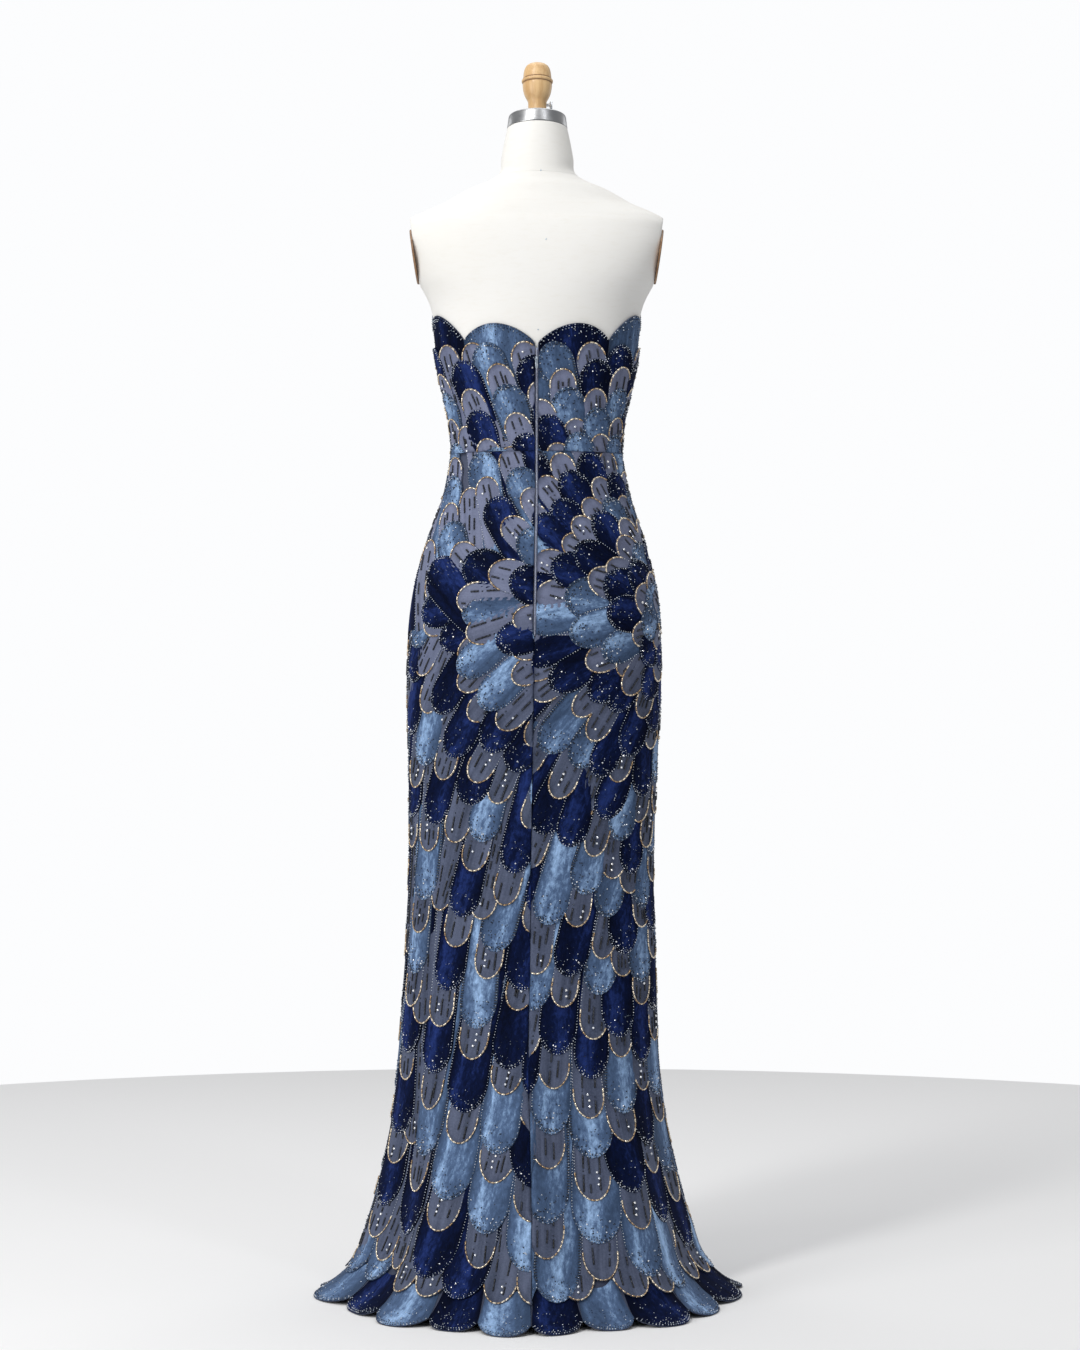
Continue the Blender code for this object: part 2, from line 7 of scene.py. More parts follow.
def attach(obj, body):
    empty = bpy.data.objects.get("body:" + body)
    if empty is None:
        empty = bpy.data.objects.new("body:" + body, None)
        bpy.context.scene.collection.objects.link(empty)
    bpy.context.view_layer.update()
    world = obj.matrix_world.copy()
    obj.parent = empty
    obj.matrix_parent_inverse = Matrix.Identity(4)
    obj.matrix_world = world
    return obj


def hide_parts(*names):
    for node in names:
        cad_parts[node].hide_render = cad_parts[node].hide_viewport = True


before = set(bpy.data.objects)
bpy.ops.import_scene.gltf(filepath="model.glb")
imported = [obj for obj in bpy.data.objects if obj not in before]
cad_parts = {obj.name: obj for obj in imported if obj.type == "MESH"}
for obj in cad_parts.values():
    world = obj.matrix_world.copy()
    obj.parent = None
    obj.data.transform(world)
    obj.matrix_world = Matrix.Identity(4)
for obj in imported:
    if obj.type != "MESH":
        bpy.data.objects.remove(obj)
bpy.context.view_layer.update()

mainBody = "gown_on_form"
bpy.ops.object.select_all(action="DESELECT")
print("frame loaded")


# Camera and light

studio = {
    "cameraDistance": 4.6,  # in front of the form's axis
    "cameraHeight": 0.905,
    "cameraSide": 0.005,
    "lens": 83.44,  # mm, as the sensor
    "sensor": 36.0,
    "worldColour": (0.975, 0.98, 0.99, 1.0),
    "worldLight": 0.34,
    "worldSeen": 1.0,
    "floorColour": (0.93, 0.93, 0.935, 1.0),
    "floorRadius": 2.6,
    "floorRoughness": 0.85,
    "lamps": [  # name, place, aimed height, size, power, colour
        ("keyStrip", (-1.25, -1.95, 3.5), 1.1, (0.34, 1.5), 44.0, (1.0, 0.99, 0.97)),
        ("fillStrip", (1.25, -1.95, 3.5), 1.1, (0.3, 1.5), 8.0, (0.97, 0.98, 1.0)),
        ("leftSoft", (-2.7, -2.6, 1.5), 0.8, (1.3, 1.7), 50.0, (1.0, 0.99, 0.98)),
        ("rightSoft", (2.7, -2.8, 1.3), 0.8, (1.2, 1.6), 3.0, (0.96, 0.98, 1.0)),
        ("overLamp", (0.0, 0.9, 4.6), 0.0, (3.4, 3.0), 60.0, (1.0, 1.0, 1.0)),
        ("leftBack", (-2.4, 2.3, 2.0), 1.0, (1.2, 1.6), 9.0, (0.98, 0.99, 1.0)),
        ("rightBack", (2.4, 2.3, 2.0), 1.0, (1.2, 1.6), 9.0, (0.98, 0.99, 1.0)),
    ],
}


def makeStudio():
    bpy.ops.object.camera_add(location=(studio["cameraSide"], -studio["cameraDistance"], studio["cameraHeight"]))
    camera = bpy.context.object
    camera.name = "photoCamera"
    camera.rotation_euler = (math.radians(90), 0, 0)
    camera.data.lens = studio["lens"]
    camera.data.sensor_width = studio["sensor"]
    bpy.context.scene.camera = camera
    for name, place, aimZ, size, power, colour in studio["lamps"]:
        bpy.ops.object.light_add(type="AREA", location=place)
        lamp = bpy.context.object
        lamp.name = name
        lamp.data.shape = "RECTANGLE"
        lamp.data.size, lamp.data.size_y = size
        lamp.data.energy = power
        lamp.data.color = colour
        lamp.rotation_euler = (Vector((0, 0, aimZ)) - lamp.location).to_track_quat("-Z", "Y").to_euler()
    world = bpy.data.worlds.new("studioWorld")
    bpy.context.scene.world = world
    world.use_nodes = True
    tree = world.node_tree
    back = tree.nodes["Background"]
    back.inputs["Color"].default_value = studio["worldColour"]
    seen = tree.nodes.new("ShaderNodeLightPath")
    level = tree.nodes.new("ShaderNodeMapRange")  # the lit world is dimmer than the white that the camera sees
    level.inputs["To Min"].default_value = studio["worldLight"]
    level.inputs["To Max"].default_value = studio["worldSeen"]
    tree.links.new(seen.outputs["Is Camera Ray"], level.inputs["Value"])
    tree.links.new(level.outputs["Result"], back.inputs["Strength"])
    bpy.context.scene.view_settings.view_transform = "Standard"
    bpy.ops.mesh.primitive_circle_add(vertices=96, radius=studio["floorRadius"], fill_type="NGON")
    floor = bpy.context.object
    floor.name = "paleFloor"
    material = bpy.data.materials.new("paleFloor")
    material.use_nodes = True
    shader = material.node_tree.nodes["Principled BSDF"]
    shader.inputs["Base Color"].default_value = studio["floorColour"]
    shader.inputs["Roughness"].default_value = studio["floorRoughness"]
    floor.data.materials.append(material)
    print("camera, light and floor")


makeStudio()


# Materials

class Number:  # a socket that holds a number, with arithmetic that adds Math nodes
    def __init__(self, finish, socket):
        self.finish, self.socket = finish, socket

    def math(self, operation, first, second=0.0):
        return self.finish.node("ShaderNodeMath", {"operation": operation}, {0: first, 1: second})

    def __add__(self, other):
        return self.math("ADD", self, other)

    def __sub__(self, other):
        return self.math("SUBTRACT", self, other)

    def __mul__(self, other):
        return self.math("MULTIPLY", self, other)

    def __rsub__(self, other):
        return self.math("SUBTRACT", other, self)

    def __abs__(self):
        return self.math("ABSOLUTE", self)

    __radd__ = __add__
    __rmul__ = __mul__

    def within(self, low, high):  # 0 below low, 1 above high, smooth between
        settings = {"interpolation_type": "SMOOTHSTEP"}
        return self.finish.node("ShaderNodeMapRange", settings, {"Value": self, "From Min": low, "From Max": high})


class Finish:  # a material whose nodes are made one call each
    def __init__(self, name, **constants):
        self.material = bpy.data.materials.new(name)
        self.material.use_nodes = True
        self.tree = self.material.node_tree
        self.shader = self.tree.nodes["Principled BSDF"]
        self.set(**constants)

    def node(self, kind, settings=None, values=None, out=0):
        made = self.tree.nodes.new(kind)
        for key, value in (settings or {}).items():
            setattr(made, key, value)
        for key, value in (values or {}).items():
            self.feed(made.inputs[key], value)
        return Number(self, made.outputs[out])

    def feed(self, socket, value):  # another node's socket or a constant, in which a colour has three numbers
        if isinstance(value, Number):
            self.tree.links.new(value.socket, socket)
        else:
            socket.default_value = (*value, 1.0) if socket.type == "RGBA" else value

    def set(self, **sockets):
        for key, value in sockets.items():
            self.feed(self.shader.inputs[key.replace("_", " ")], value)
        return self.material

    def place(self):  # object coordinates
        return self.node("ShaderNodeTexCoord", out=3)

    def own(self, name):  # the piece's own attribute, as a number
        return self.node("ShaderNodeAttribute", {"attribute_name": name}, out=2)

    def noise(self, vector, scale, detail=3.0, rough=0.55, twist=0.0):  # with three scales it is stretched
        if isinstance(scale, tuple):
            vector, scale = self.node("ShaderNodeMapping", None, {"Vector": vector, "Scale": scale}), 1.0
        values = {"Vector": vector, "Scale": scale, "Detail": detail, "Roughness": rough, "Distortion": twist}
        return self.node("ShaderNodeTexNoise", None, values)

    def weave(self, scale, twist=0.0, upright=0.5):  # threads that run both ways, mixed
        values = {"Vector": self.place(), "Scale": scale, "Distortion": twist}
        first, second = (self.node("ShaderNodeTexWave", {"wave_type": "BANDS", "bands_direction": way}, values)
                         for way in "XZ")
        return first * upright + second * (1.0 - upright)

    def blendColours(self, share, first, second):
        return self.node("ShaderNodeMix", {"data_type": "RGBA"}, {0: share, 6: first, 7: second}, out=2)

    def bump(self, height, strength, distance, under=None):
        values = {"Height": height, "Strength": strength, "Distance": distance}
        if under is not None:
            values["Normal"] = under
        return self.node("ShaderNodeBump", None, values)


def petalPlace(finish):  # metres across and along a petal, moved by the petal's own tone so that no two are alike
    across, along, tone = (finish.own(name) for name in ("across", "along", "tone"))
    return finish.node("ShaderNodeCombineXYZ", None, {0: across, 1: along, 2: tone * 7.0}), across, tone


def velvet(name, deep, main, lit, sheen, tint, gloss):
    # a painted highlight makes each petal brighter in a soft band down it, and painted shade darkens it near its
    # edges, with the nap's finer crushing and pile over it
    finish = Finish(name, Sheen_Weight=sheen, Sheen_Roughness=0.4, Sheen_Tint=tint, Specular_IOR_Level=gloss)
    vector, across, tone = petalPlace(finish)
    # a painted highlight: a soft bright band down each petal, moved aside by the petal's tone
    paintedHighlightBand = 1.0 - abs(across * 46.0 + tone * 1.5 - 0.75)
    clouds = finish.noise(vector, (38.0, 9.0, 1.0), 3.0, 0.55, 0.6)
    crush = finish.noise(vector, (230.0, 110.0, 1.0), 4.0, 0.65, 0.3)
    pile = finish.noise(finish.place(), 1100.0, 2.0, 0.6)
    # painted shade: the velvet's colour darkens towards each petal's edge, where petals meet
    edge = finish.own("rim").within(0.5, 1.0)
    # the nap's clouds, crushing and pile, with the painted highlight band added and the painted edge shade taken off
    napAndPaintedLight = (clouds * 0.55 + crush * 0.44 + pile * 0.16 + paintedHighlightBand.within(-0.5, 1.0) * 0.16 + tone * 0.08
           - edge * 0.16 - 0.13)
    bright = napAndPaintedLight.within(0.55, 0.82)
    base = finish.blendColours(bright, finish.blendColours(napAndPaintedLight.within(0.34, 0.68), deep, main), lit)
    normal = finish.bump(pile, 0.4, 0.0006, finish.bump(clouds * 0.6 + crush * 0.4, 0.5, 0.003))
    return finish.set(Base_Color=base, Roughness=0.78 - bright * 0.2, Normal=normal)


def sheerMesh(name, deep, pale, lined, folds):
    # fine tulle over a lining: darker threads, paler where the light comes through and over the form
    finish = Finish(name, Roughness=0.6, Sheen_Weight=0.12, Sheen_Roughness=0.4, Sheen_Tint=(0.6, 0.65, 0.85),
                    Specular_IOR_Level=0.2)
    place = finish.place()
    cloud = finish.noise(place, (9.0, 9.0, 3.5), 3.0, 0.6)
    threads = finish.weave(330.0, 0.8)
    hazy = finish.noise(place, 420.0, 2.0, 0.6)
    fold = finish.noise(petalPlace(finish)[0], (75.0, 5.0, 1.0), 3.0, 0.6, 0.4)
    share = (cloud * (0.75 - folds) + fold * folds + threads * 0.12 + hazy * 0.22).within(0.32, 0.8)
    height = finish.node("ShaderNodeSeparateXYZ", None, {0: place}, out=2)
    overForm = height.within(0.78, 1.12) * (0.35 + share * 0.65)
    base = finish.blendColours(overForm, finish.blendColours(share, deep, pale), lined)
    return finish.set(Base_Color=base, Normal=finish.bump(threads * 0.5 + hazy * 0.5, 0.3, 0.0004))


def glassy(name, dark, light, metallic, rough, coat):  # beads and sequins: each has its own tone
    finish = Finish(name, Metallic=metallic, Roughness=rough, Coat_Weight=coat, Coat_Roughness=0.05)
    specks = finish.noise(finish.place(), 900.0, 1.0)
    base = finish.blendColours((finish.own("tone") * 0.85 + specks * 0.15).within(0.15, 0.85), dark, light)
    return finish.set(Base_Color=base, Roughness=rough + specks * 0.12)


def worn(name, grain, reach, dark, light, rough, dent=None, **constants):  # one noise moves its colour and shine
    finish = Finish(name, **constants)
    wear = finish.noise(finish.place(), *grain)
    finish.set(Base_Color=finish.blendColours(wear.within(*reach), dark, light), Roughness=rough[0] + wear * rough[1])
    return finish.set(Normal=finish.bump(wear, *dent)) if dent else finish.material


def canvasCloth(name):
    finish = Finish(name, Roughness=0.9, Sheen_Weight=0.1)
    slub = finish.noise(finish.place(), (60.0, 60.0, 240.0))
    soil = finish.noise(finish.place(), 5.0).within(0.35, 0.75)
    base = finish.blendColours(soil, (0.85, 0.843, 0.82), (0.82, 0.808, 0.772))
    base = finish.blendColours(slub.within(0.45, 0.8) * 0.25, base, (0.78, 0.75, 0.69))
    return finish.set(Base_Color=base, Normal=finish.bump(finish.weave(260.0, 1.2) * 0.6 + slub * 0.4, 0.25, 0.0005))


def turnedWood(name):
    finish = Finish(name, Roughness=0.45, Coat_Weight=0.15, Coat_Roughness=0.25)
    grain = finish.noise(finish.place(), (85.0, 85.0, 9.0), 4.0, 0.6, 0.5)
    pores = finish.noise(finish.place(), (900.0, 900.0, 70.0), 2.0)
    share = (grain * 0.8 + pores * 0.25).within(0.36, 0.76)
    base = finish.blendColours(share, (0.8, 0.55, 0.28), (0.56, 0.33, 0.14))
    base = finish.blendColours(finish.own("groove"), base, (0.17, 0.07, 0.025))
    return finish.set(Base_Color=base, Roughness=0.36 + pores * 0.15, Normal=finish.bump(pores, 0.12, 0.0004))


def brushedSteel(name):
    finish = Finish(name, Metallic=1.0, Roughness=0.3, Anisotropic=0.5)
    lines = finish.noise(finish.place(), (28.0, 28.0, 1900.0), 3.0, 0.7)
    stain = finish.noise(finish.place(), 35.0, 2.0).within(0.3, 0.7)
    base = finish.blendColours(stain, (0.36, 0.37, 0.385), (0.5, 0.505, 0.515))
    return finish.set(Base_Color=base, Roughness=0.2 + lines * 0.22, Normal=finish.bump(lines, 0.12, 0.0003))


def zipCloth(name):
    finish = Finish(name, Roughness=0.7, Sheen_Weight=0.2)
    weave = finish.weave(900.0, 0.0, 0.4)
    base = finish.blendColours(weave.within(0.2, 0.8), (0.36, 0.42, 0.62), (0.58, 0.66, 0.9))
    return finish.set(Base_Color=base, Normal=finish.bump(weave, 0.4, 0.0004))


def makeFinishes():
    plating = {"grain": (260.0, 3.0), "reach": (0.35, 0.7), "rough": (0.2, 0.16), "dent": (0.08, 0.0003),
               "Metallic": 0.8, "Roughness": 0.25}
    made = (
        velvet("lightVelvet", (0.034, 0.06, 0.118), (0.086, 0.146, 0.275), (0.37, 0.56, 0.86),
               0.16, (0.5, 0.64, 0.9), 0.12),
        velvet("navyVelvet", (0.0015, 0.003, 0.012), (0.0036, 0.0085, 0.042), (0.018, 0.038, 0.17),
               0.02, (0.1, 0.18, 0.65), 0.04),
        sheerMesh("sheerPetal", (0.024, 0.033, 0.062), (0.125, 0.15, 0.238), (0.21, 0.235, 0.36), 0.5),
        sheerMesh("groundMesh", (0.022, 0.029, 0.056), (0.062, 0.076, 0.126), (0.09, 0.105, 0.16), 0.0),
        glassy("silverBead", (0.26, 0.32, 0.4), (0.82, 0.87, 0.94), 0.2, 0.22, 0.6),
        glassy("inkBead", (0.004, 0.007, 0.016), (0.03, 0.05, 0.095), 0.2, 0.14, 0.8),
        glassy("goldBugle", (0.4, 0.27, 0.15), (1.0, 0.88, 0.68), 0.6, 0.16, 0.5),
        glassy("inkBugle", (0.003, 0.004, 0.008), (0.018, 0.023, 0.038), 0.0, 0.42, 0.15),
        glassy("crystal", (0.85, 0.89, 0.95), (1.0, 1.0, 1.0), 0.55, 0.05, 1.0),
        canvasCloth("canvasCloth"),
        turnedWood("turnedWood"),
        brushedSteel("brushedSteel"),
        worn("zipMetal", dark=(0.42, 0.5, 0.6), light=(0.72, 0.8, 0.88), **plating),
        worn("screwMetal", dark=(0.7, 0.73, 0.77), light=(0.93, 0.95, 0.97), **plating),
        worn("brownPlate", ((40.0, 26.0, 170.0), 4.0, 0.6, 0.4), (0.35, 0.7), (0.2, 0.105, 0.05), (0.34, 0.2, 0.1),
             (0.4, 0.2), (0.15, 0.0005), Roughness=0.45, Coat_Weight=0.2),
        worn("blackPaint", (520.0, 2.0), (0.4, 0.7), (0.018, 0.018, 0.02), (0.035, 0.035, 0.038),
             (0.36, 0.16), (0.25, 0.0004), Roughness=0.42, Coat_Weight=0.2),
        zipCloth("zipCloth"),
        worn("zipCoil", (700.0, 2.0), (0.3, 0.7), (0.66, 0.7, 0.88), (0.86, 0.89, 1.0), (0.3, 0.2),
             Roughness=0.35, Coat_Weight=0.3),
    )
    print("materials:", len(made))
    return {material.name: material for material in made}


finishes = makeFinishes()


# The gown's surface, the same as the solids': a table of levels from the hem up

bodyColumns = ("z", "halfWidth", "back", "middle", "front", "square", "side")
bodyRows = np.array([
    (0.0016, 0.31, 0.32, 0, 0.256, 2, -0.007),  # tips of the hem
    (0.012, 0.287, 0.299, 0, 0.239, 2, -0.007),
    (0.032, 0.262, 0.276, 0, 0.221, 2, -0.007),
    (0.06, 0.241, 0.252, 0, 0.204, 2, -0.007),
    (0.1, 0.228, 0.228, 0, 0.188, 2, -0.007),
    (0.16, 0.2115, 0.2, 0, 0.169, 2, -0.008),
    (0.23, 0.1975, 0.173, 0, 0.15, 2, -0.009),
    (0.31, 0.1885, 0.149, 0, 0.133, 2, -0.011),
    (0.4, 0.1845, 0.13, 0, 0.12, 2, -0.011),
    (0.5, 0.1805, 0.117, 0, 0.111, 2, -0.009),
    (0.63, 0.1765, 0.112, 0, 0.107, 2, -0.008),  # knee
    (0.76, 0.179, 0.117, 0, 0.108, 2, -0.006),
    (0.88, 0.183, 0.126, 0, 0.112, 2, -0.004),
    (0.958, 0.1825, 0.13, 0, 0.113, 2, -0.003),  # hip
    (1.03, 0.175, 0.127, 0, 0.11, 2, -0.002),
    (1.1, 0.157, 0.114, 0, 0.104, 2, -0.001),
    (1.165, 0.135, 0.096, 0, 0.096, 2, 0),
    (1.228, 0.123, 0.083, 0, 0.091, 2, 0),  # waist
    (1.275, 0.1265, 0.085, 0, 0.094, 2, 0),
    (1.32, 0.136, 0.09, 0, 0.1, 2, 0),
    (1.365, 0.146, 0.096, 0, 0.106, 2, 0),
    (1.41, 0.151, 0.1, 0, 0.11, 2, 0),
    (1.45, 0.16, 0.101, 0, 0.107, 2.1, 0),
    (1.49, 0.181, 0.099, 0, 0.097, 2.4, 0),
    (1.53, 0.1965, 0.093, 0, 0.083, 2.6, 0),
    (1.56, 0.1975, 0.085, -0.003, 0.07, 2.5, 0),
    (1.575, 0.189, 0.079, -0.005, 0.062, 2.3, 0),  # shoulder tips
    (1.586, 0.169, 0.075, -0.006, 0.057, 2.1, 0.001),
    (1.598, 0.141, 0.07, -0.006, 0.053, 2, 0.001),
    (1.609, 0.122, 0.065, -0.005, 0.051, 2, 0.001),
    (1.621, 0.1, 0.06, -0.004, 0.05, 2, 0.001),
    (1.632, 0.074, 0.054, -0.002, 0.05, 2, 0.001),
    (1.644, 0.0575, 0.049, 0.001, 0.052, 2, 0.001),  # foot of the neck
    (1.664, 0.0555, 0.043, 0.006, 0.056, 2, 0.001),
    (1.688, 0.0515, 0.035, 0.013, 0.061, 2, 0.001),
    (1.71, 0.047, 0.026, 0.02, 0.066, 2, 0.001),  # top of the neck
])
gown = {
    "cloth": 0.0012,
    "waistZ": 1.228,
    "seamGap": 0.0003,
    "angleSteps": 96,  # the steps that the hem's scallops are counted in
    "hemLobes": (4, 4, 5, 5, 6, 5, 5, 5, 5, 4),  # steps of each scallop, centre back to centre front
    "hemNotchRow": 1.05,
    "hemFullRow": 3.0,
    "topLobes": 8,
    "topRise": 0.029,
    "topNotches": (1.38, 1.389, 1.41, 1.424, 1.4),  # level of each notch, centre back to centre front
    "flutes": 8,
    "fluteDepth": 0.013,
    "fluteTopZ": 0.46,
    "fluteFullZ": 0.06,
    "neckFootZ": 1.632,
    "neckTilt": 9.0,  # degrees forward
    "zipBottomZ": 0.96,
    "zipWidth": 0.0034,
    "bust": {"z": 1.372, "angle": 29.0, "spread": 19.0, "depth": 0.03, "above": 0.062, "below": 0.042},
    "creases": [  # soft ridges: degrees from centre back, middle level, height, reach across and up, lean
        (-37.0, 0.66, 0.003, 9.0, 0.34, 4.0),
        (-14.0, 0.78, 0.0016, 6.0, 0.22, -10.0),
        (21.0, 0.72, 0.0022, 8.0, 0.28, -14.0),
        (48.0, 0.6, 0.002, 8.0, 0.3, 6.0),
        (-62.0, 0.5, 0.0022, 9.0, 0.26, 0.0),
        (9.0, 0.4, 0.002, 7.0, 0.2, 8.0),
        (148.0, 0.7, 0.0026, 9.0, 0.3, 8.0),
        (-158.0, 0.62, 0.0024, 9.0, 0.33, -6.0),
        (118.0, 0.52, 0.002, 8.0, 0.24, 0.0),
        (-121.0, 0.74, 0.0018, 7.0, 0.26, 8.0),
    ],
}


def easeIn(value):
    value = np.clip(value, 0.0, 1.0)
    return value * value * (3.0 - 2.0 * value)


def splineAt(values, place):  # Catmull-Rom through the values, read at fractional indices
    last = len(values) - 1
    i = np.clip(np.floor(place).astype(int), 0, last - 1)
    u = place - i
    a, b, c, d = values[np.maximum(i - 1, 0)], values[i], values[i + 1], values[np.minimum(i + 2, last)]
    return 0.5 * (2 * b + (c - a) * u + (2 * a - 5 * b + 4 * c - d) * u**2 + (3 * b - a - 3 * c + d) * u**3)


def unit(vectors):
    return vectors / np.linalg.norm(vectors, axis=-1, keepdims=True)


def bodyAt(name, row):
    return splineAt(bodyRows[:, bodyColumns.index(name)], np.asarray(row, float))


fineRows = np.linspace(0, len(bodyRows) - 1, 3501)
fineLevels = bodyAt("z", fineRows)


def rowAtZ(z):
    return np.interp(z, fineLevels, fineRows)


def wrapped(degrees):  # to -180 to 180
    return (np.asarray(degrees, float) + 180.0) % 360.0 - 180.0


def bodyPoint(angle, row, creased=True):  # angle in radians from the centre back, a quarter turn is +X
    angle, row = np.broadcast_arrays(np.asarray(angle, float), np.asarray(row, float))
    z = bodyAt("z", row)
    sine, cosine = np.sin(angle), np.cos(angle)
    share = 2.0 / bodyAt("square", row)
    flare = easeIn((gown["fluteTopZ"] - z) / (gown["fluteTopZ"] - gown["fluteFullZ"]))
    swing = 0.7 * np.cos(gown["flutes"] * angle + 0.8 * np.sin(2 * angle + 0.6)) + 0.3 * np.cos(5 * angle + 1.1)
    out = gown["fluteDepth"] * flare * swing
    if creased:
        degrees = np.degrees(angle)
        for middle, level, height, across, up, lean in gown["creases"]:
            off = wrapped(degrees - middle - lean * (z - level) / up) / across
            rise = np.clip(1.0 - ((z - level) / up) ** 2, 0.0, 1.0)
            out = out + height * rise**1.5 * np.exp(-off * off)
    x = bodyAt("side", row) + bodyAt("halfWidth", row) * np.sign(sine) * np.abs(sine) ** share + out * sine
    middle = bodyAt("middle", row)
    depth = np.where(cosine > 0, bodyAt("back", row) + middle, bodyAt("front", row) - middle)
    bust = gown["bust"]
    fromFront = 180.0 - np.abs(wrapped(np.degrees(angle)))
    off = (fromFront - bust["angle"]) / bust["spread"]
    reach = np.where(z > bust["z"], bust["above"], bust["below"])
    swell = bust["depth"] * np.exp(-off * off - ((z - bust["z"]) / reach) ** 2)
    y = middle - depth * np.sign(cosine) * np.abs(cosine) ** share - out * cosine + swell
    neck = easeIn((z - gown["neckFootZ"]) / (bodyRows[-1, 0] - gown["neckFootZ"]))
    tilt = np.radians(gown["neckTilt"]) * neck
    return np.stack([x, y, z - (y - middle) * np.tan(tilt)], -1)


def bodyNormal(angle, row, creased=True):
    step = 2e-3
    low = np.maximum(row - step, 0.0)
    high = np.minimum(row + step, len(bodyRows) - 1.0)
    roundIt = bodyPoint(angle + step, row, creased) - bodyPoint(angle - step, row, creased)
    upIt = bodyPoint(angle, high, creased) - bodyPoint(angle, low, creased)
    return unit(np.cross(roundIt, upIt))


def arch(share):  # a scallop's rise over its width
    return np.maximum(0.0, np.sin(np.pi * np.clip(share, 0, 1))) ** 0.75


hemNotches = np.concatenate([[0], np.cumsum(gown["hemLobes"])]) * 360.0 / gown["angleSteps"]  # to centre front


def hemRow(degrees):
    side = np.abs(wrapped(degrees))
    lobe = np.clip(np.searchsorted(hemNotches, side, side="right") - 1, 0, len(hemNotches) - 2)
    share = (side - hemNotches[lobe]) / (hemNotches[lobe + 1] - hemNotches[lobe])
    return gown["hemNotchRow"] * (1.0 - arch(share))


def topZ(degrees):
    side = np.abs(wrapped(degrees))
    width = 360.0 / gown["topLobes"]
    return splineAt(np.array(gown["topNotches"]), side / width) + gown["topRise"] * arch((side / width) % 1.0)


# Seams cut the pattern, so the skin is measured panel by panel: a place's "turn" is even in real length along
# each level of a panel, and its "up" is the real length up the cloth from the hem's tips

panelTurns = {"back_right": (0.0, 90.0), "front": (90.0, 270.0), "back_left": (270.0, 360.0)}
panelAt = {first: panel for panel, (first, _) in panelTurns.items()}
skinGrid = {"levels": 620, "turns": 720, "topRow": 23.5}


def measureSkin():
    rows = np.linspace(0, skinGrid["topRow"], 2400)
    ring = np.radians(np.arange(0, 360, 15.0))
    points = bodyPoint(ring[None, :], rows[:, None])
    steps = np.linalg.norm(np.diff(points, axis=0), axis=-1).mean(axis=1)
    climbed = np.concatenate([[0], np.cumsum(steps)])
    levels = np.linspace(0, climbed[-1], skinGrid["levels"])
    levelRows = np.interp(levels, climbed, rows)
    turns = np.linspace(0, 360, skinGrid["turns"] + 1)
    angles = np.empty((len(levels), len(turns)))
    reach = {panel: np.empty(len(levels)) for panel in panelTurns}
    for panel, (first, last) in panelTurns.items():
        fine = np.radians(np.linspace(first, last, 361))
        inside = (turns >= first) & (turns <= last)
        for i, row in enumerate(levelRows):
            line = bodyPoint(fine, np.full_like(fine, row))
            length = np.concatenate([[0], np.cumsum(np.linalg.norm(np.diff(line, axis=0), axis=-1))])
            angles[i, inside] = np.interp((turns[inside] - first) / (last - first) * length[-1], length, fine)
            reach[panel][i] = length[-1] / (last - first)
    rowGrid = np.repeat(levelRows[:, None], len(turns), axis=1)
    return {
        "climbed": climbed, "rows": rows, "levels": levels, "turns": turns, "angles": angles,
        "points": bodyPoint(angles, rowGrid), "normals": bodyNormal(angles, rowGrid), "reach": reach,
    }


skin = measureSkin()
print("skin measured,", round(float(skin["levels"][-1]), 3), "m up the back")


def upAtRow(row):
    return np.interp(row, skin["rows"], skin["climbed"])


def rowAtUp(up):
    return np.interp(up, skin["climbed"], skin["rows"])


def upAtZ(z):
    return upAtRow(rowAtZ(z))


def zAtUp(up):
    return bodyAt("z", rowAtUp(up))


def reachAt(panel, up):  # metres of cloth for each degree of turn
    return np.interp(up, skin["levels"], skin["reach"][panel])


def metresPerDegree(turn, up):
    right, front, left = (reachAt(panel, up) for panel in panelTurns)
    return np.select([turn < 90.0, turn <= 270.0], [right, front], left)


def readGrid(values, turn, up):  # bilinear
    i = np.clip(up / skin["levels"][1], 0, len(skin["levels"]) - 1.001)
    j = np.clip(turn / skin["turns"][1], 0, len(skin["turns"]) - 1.001)
    a, b = np.floor(i).astype(int), np.floor(j).astype(int)
    u, v = (i - a)[..., None], (j - b)[..., None]
    low = values[a, b] * (1 - v) + values[a, b + 1] * v
    high = values[a + 1, b] * (1 - v) + values[a + 1, b + 1] * v
    return low * (1 - u) + high * u


def skinPlace(turn, up, lift):
    normals = unit(readGrid(skin["normals"], turn, up))
    return readGrid(skin["points"], turn, up) + normals * np.asarray(lift)[..., None], normals


def turnAt(angleDegrees, up):  # turn of a plain angle at a level
    angleDegrees, up = np.broadcast_arrays(np.asarray(angleDegrees, float) % 360.0, np.asarray(up, float))
    i = np.clip(np.round(up / skin["levels"][1]).astype(int), 0, len(skin["levels"]) - 1)
    turned = np.empty(angleDegrees.shape)
    for level in np.unique(i):
        here = i == level
        turned[here] = np.interp(angleDegrees[here], np.degrees(skin["angles"][level]), skin["turns"])
    return turned


# Meshes

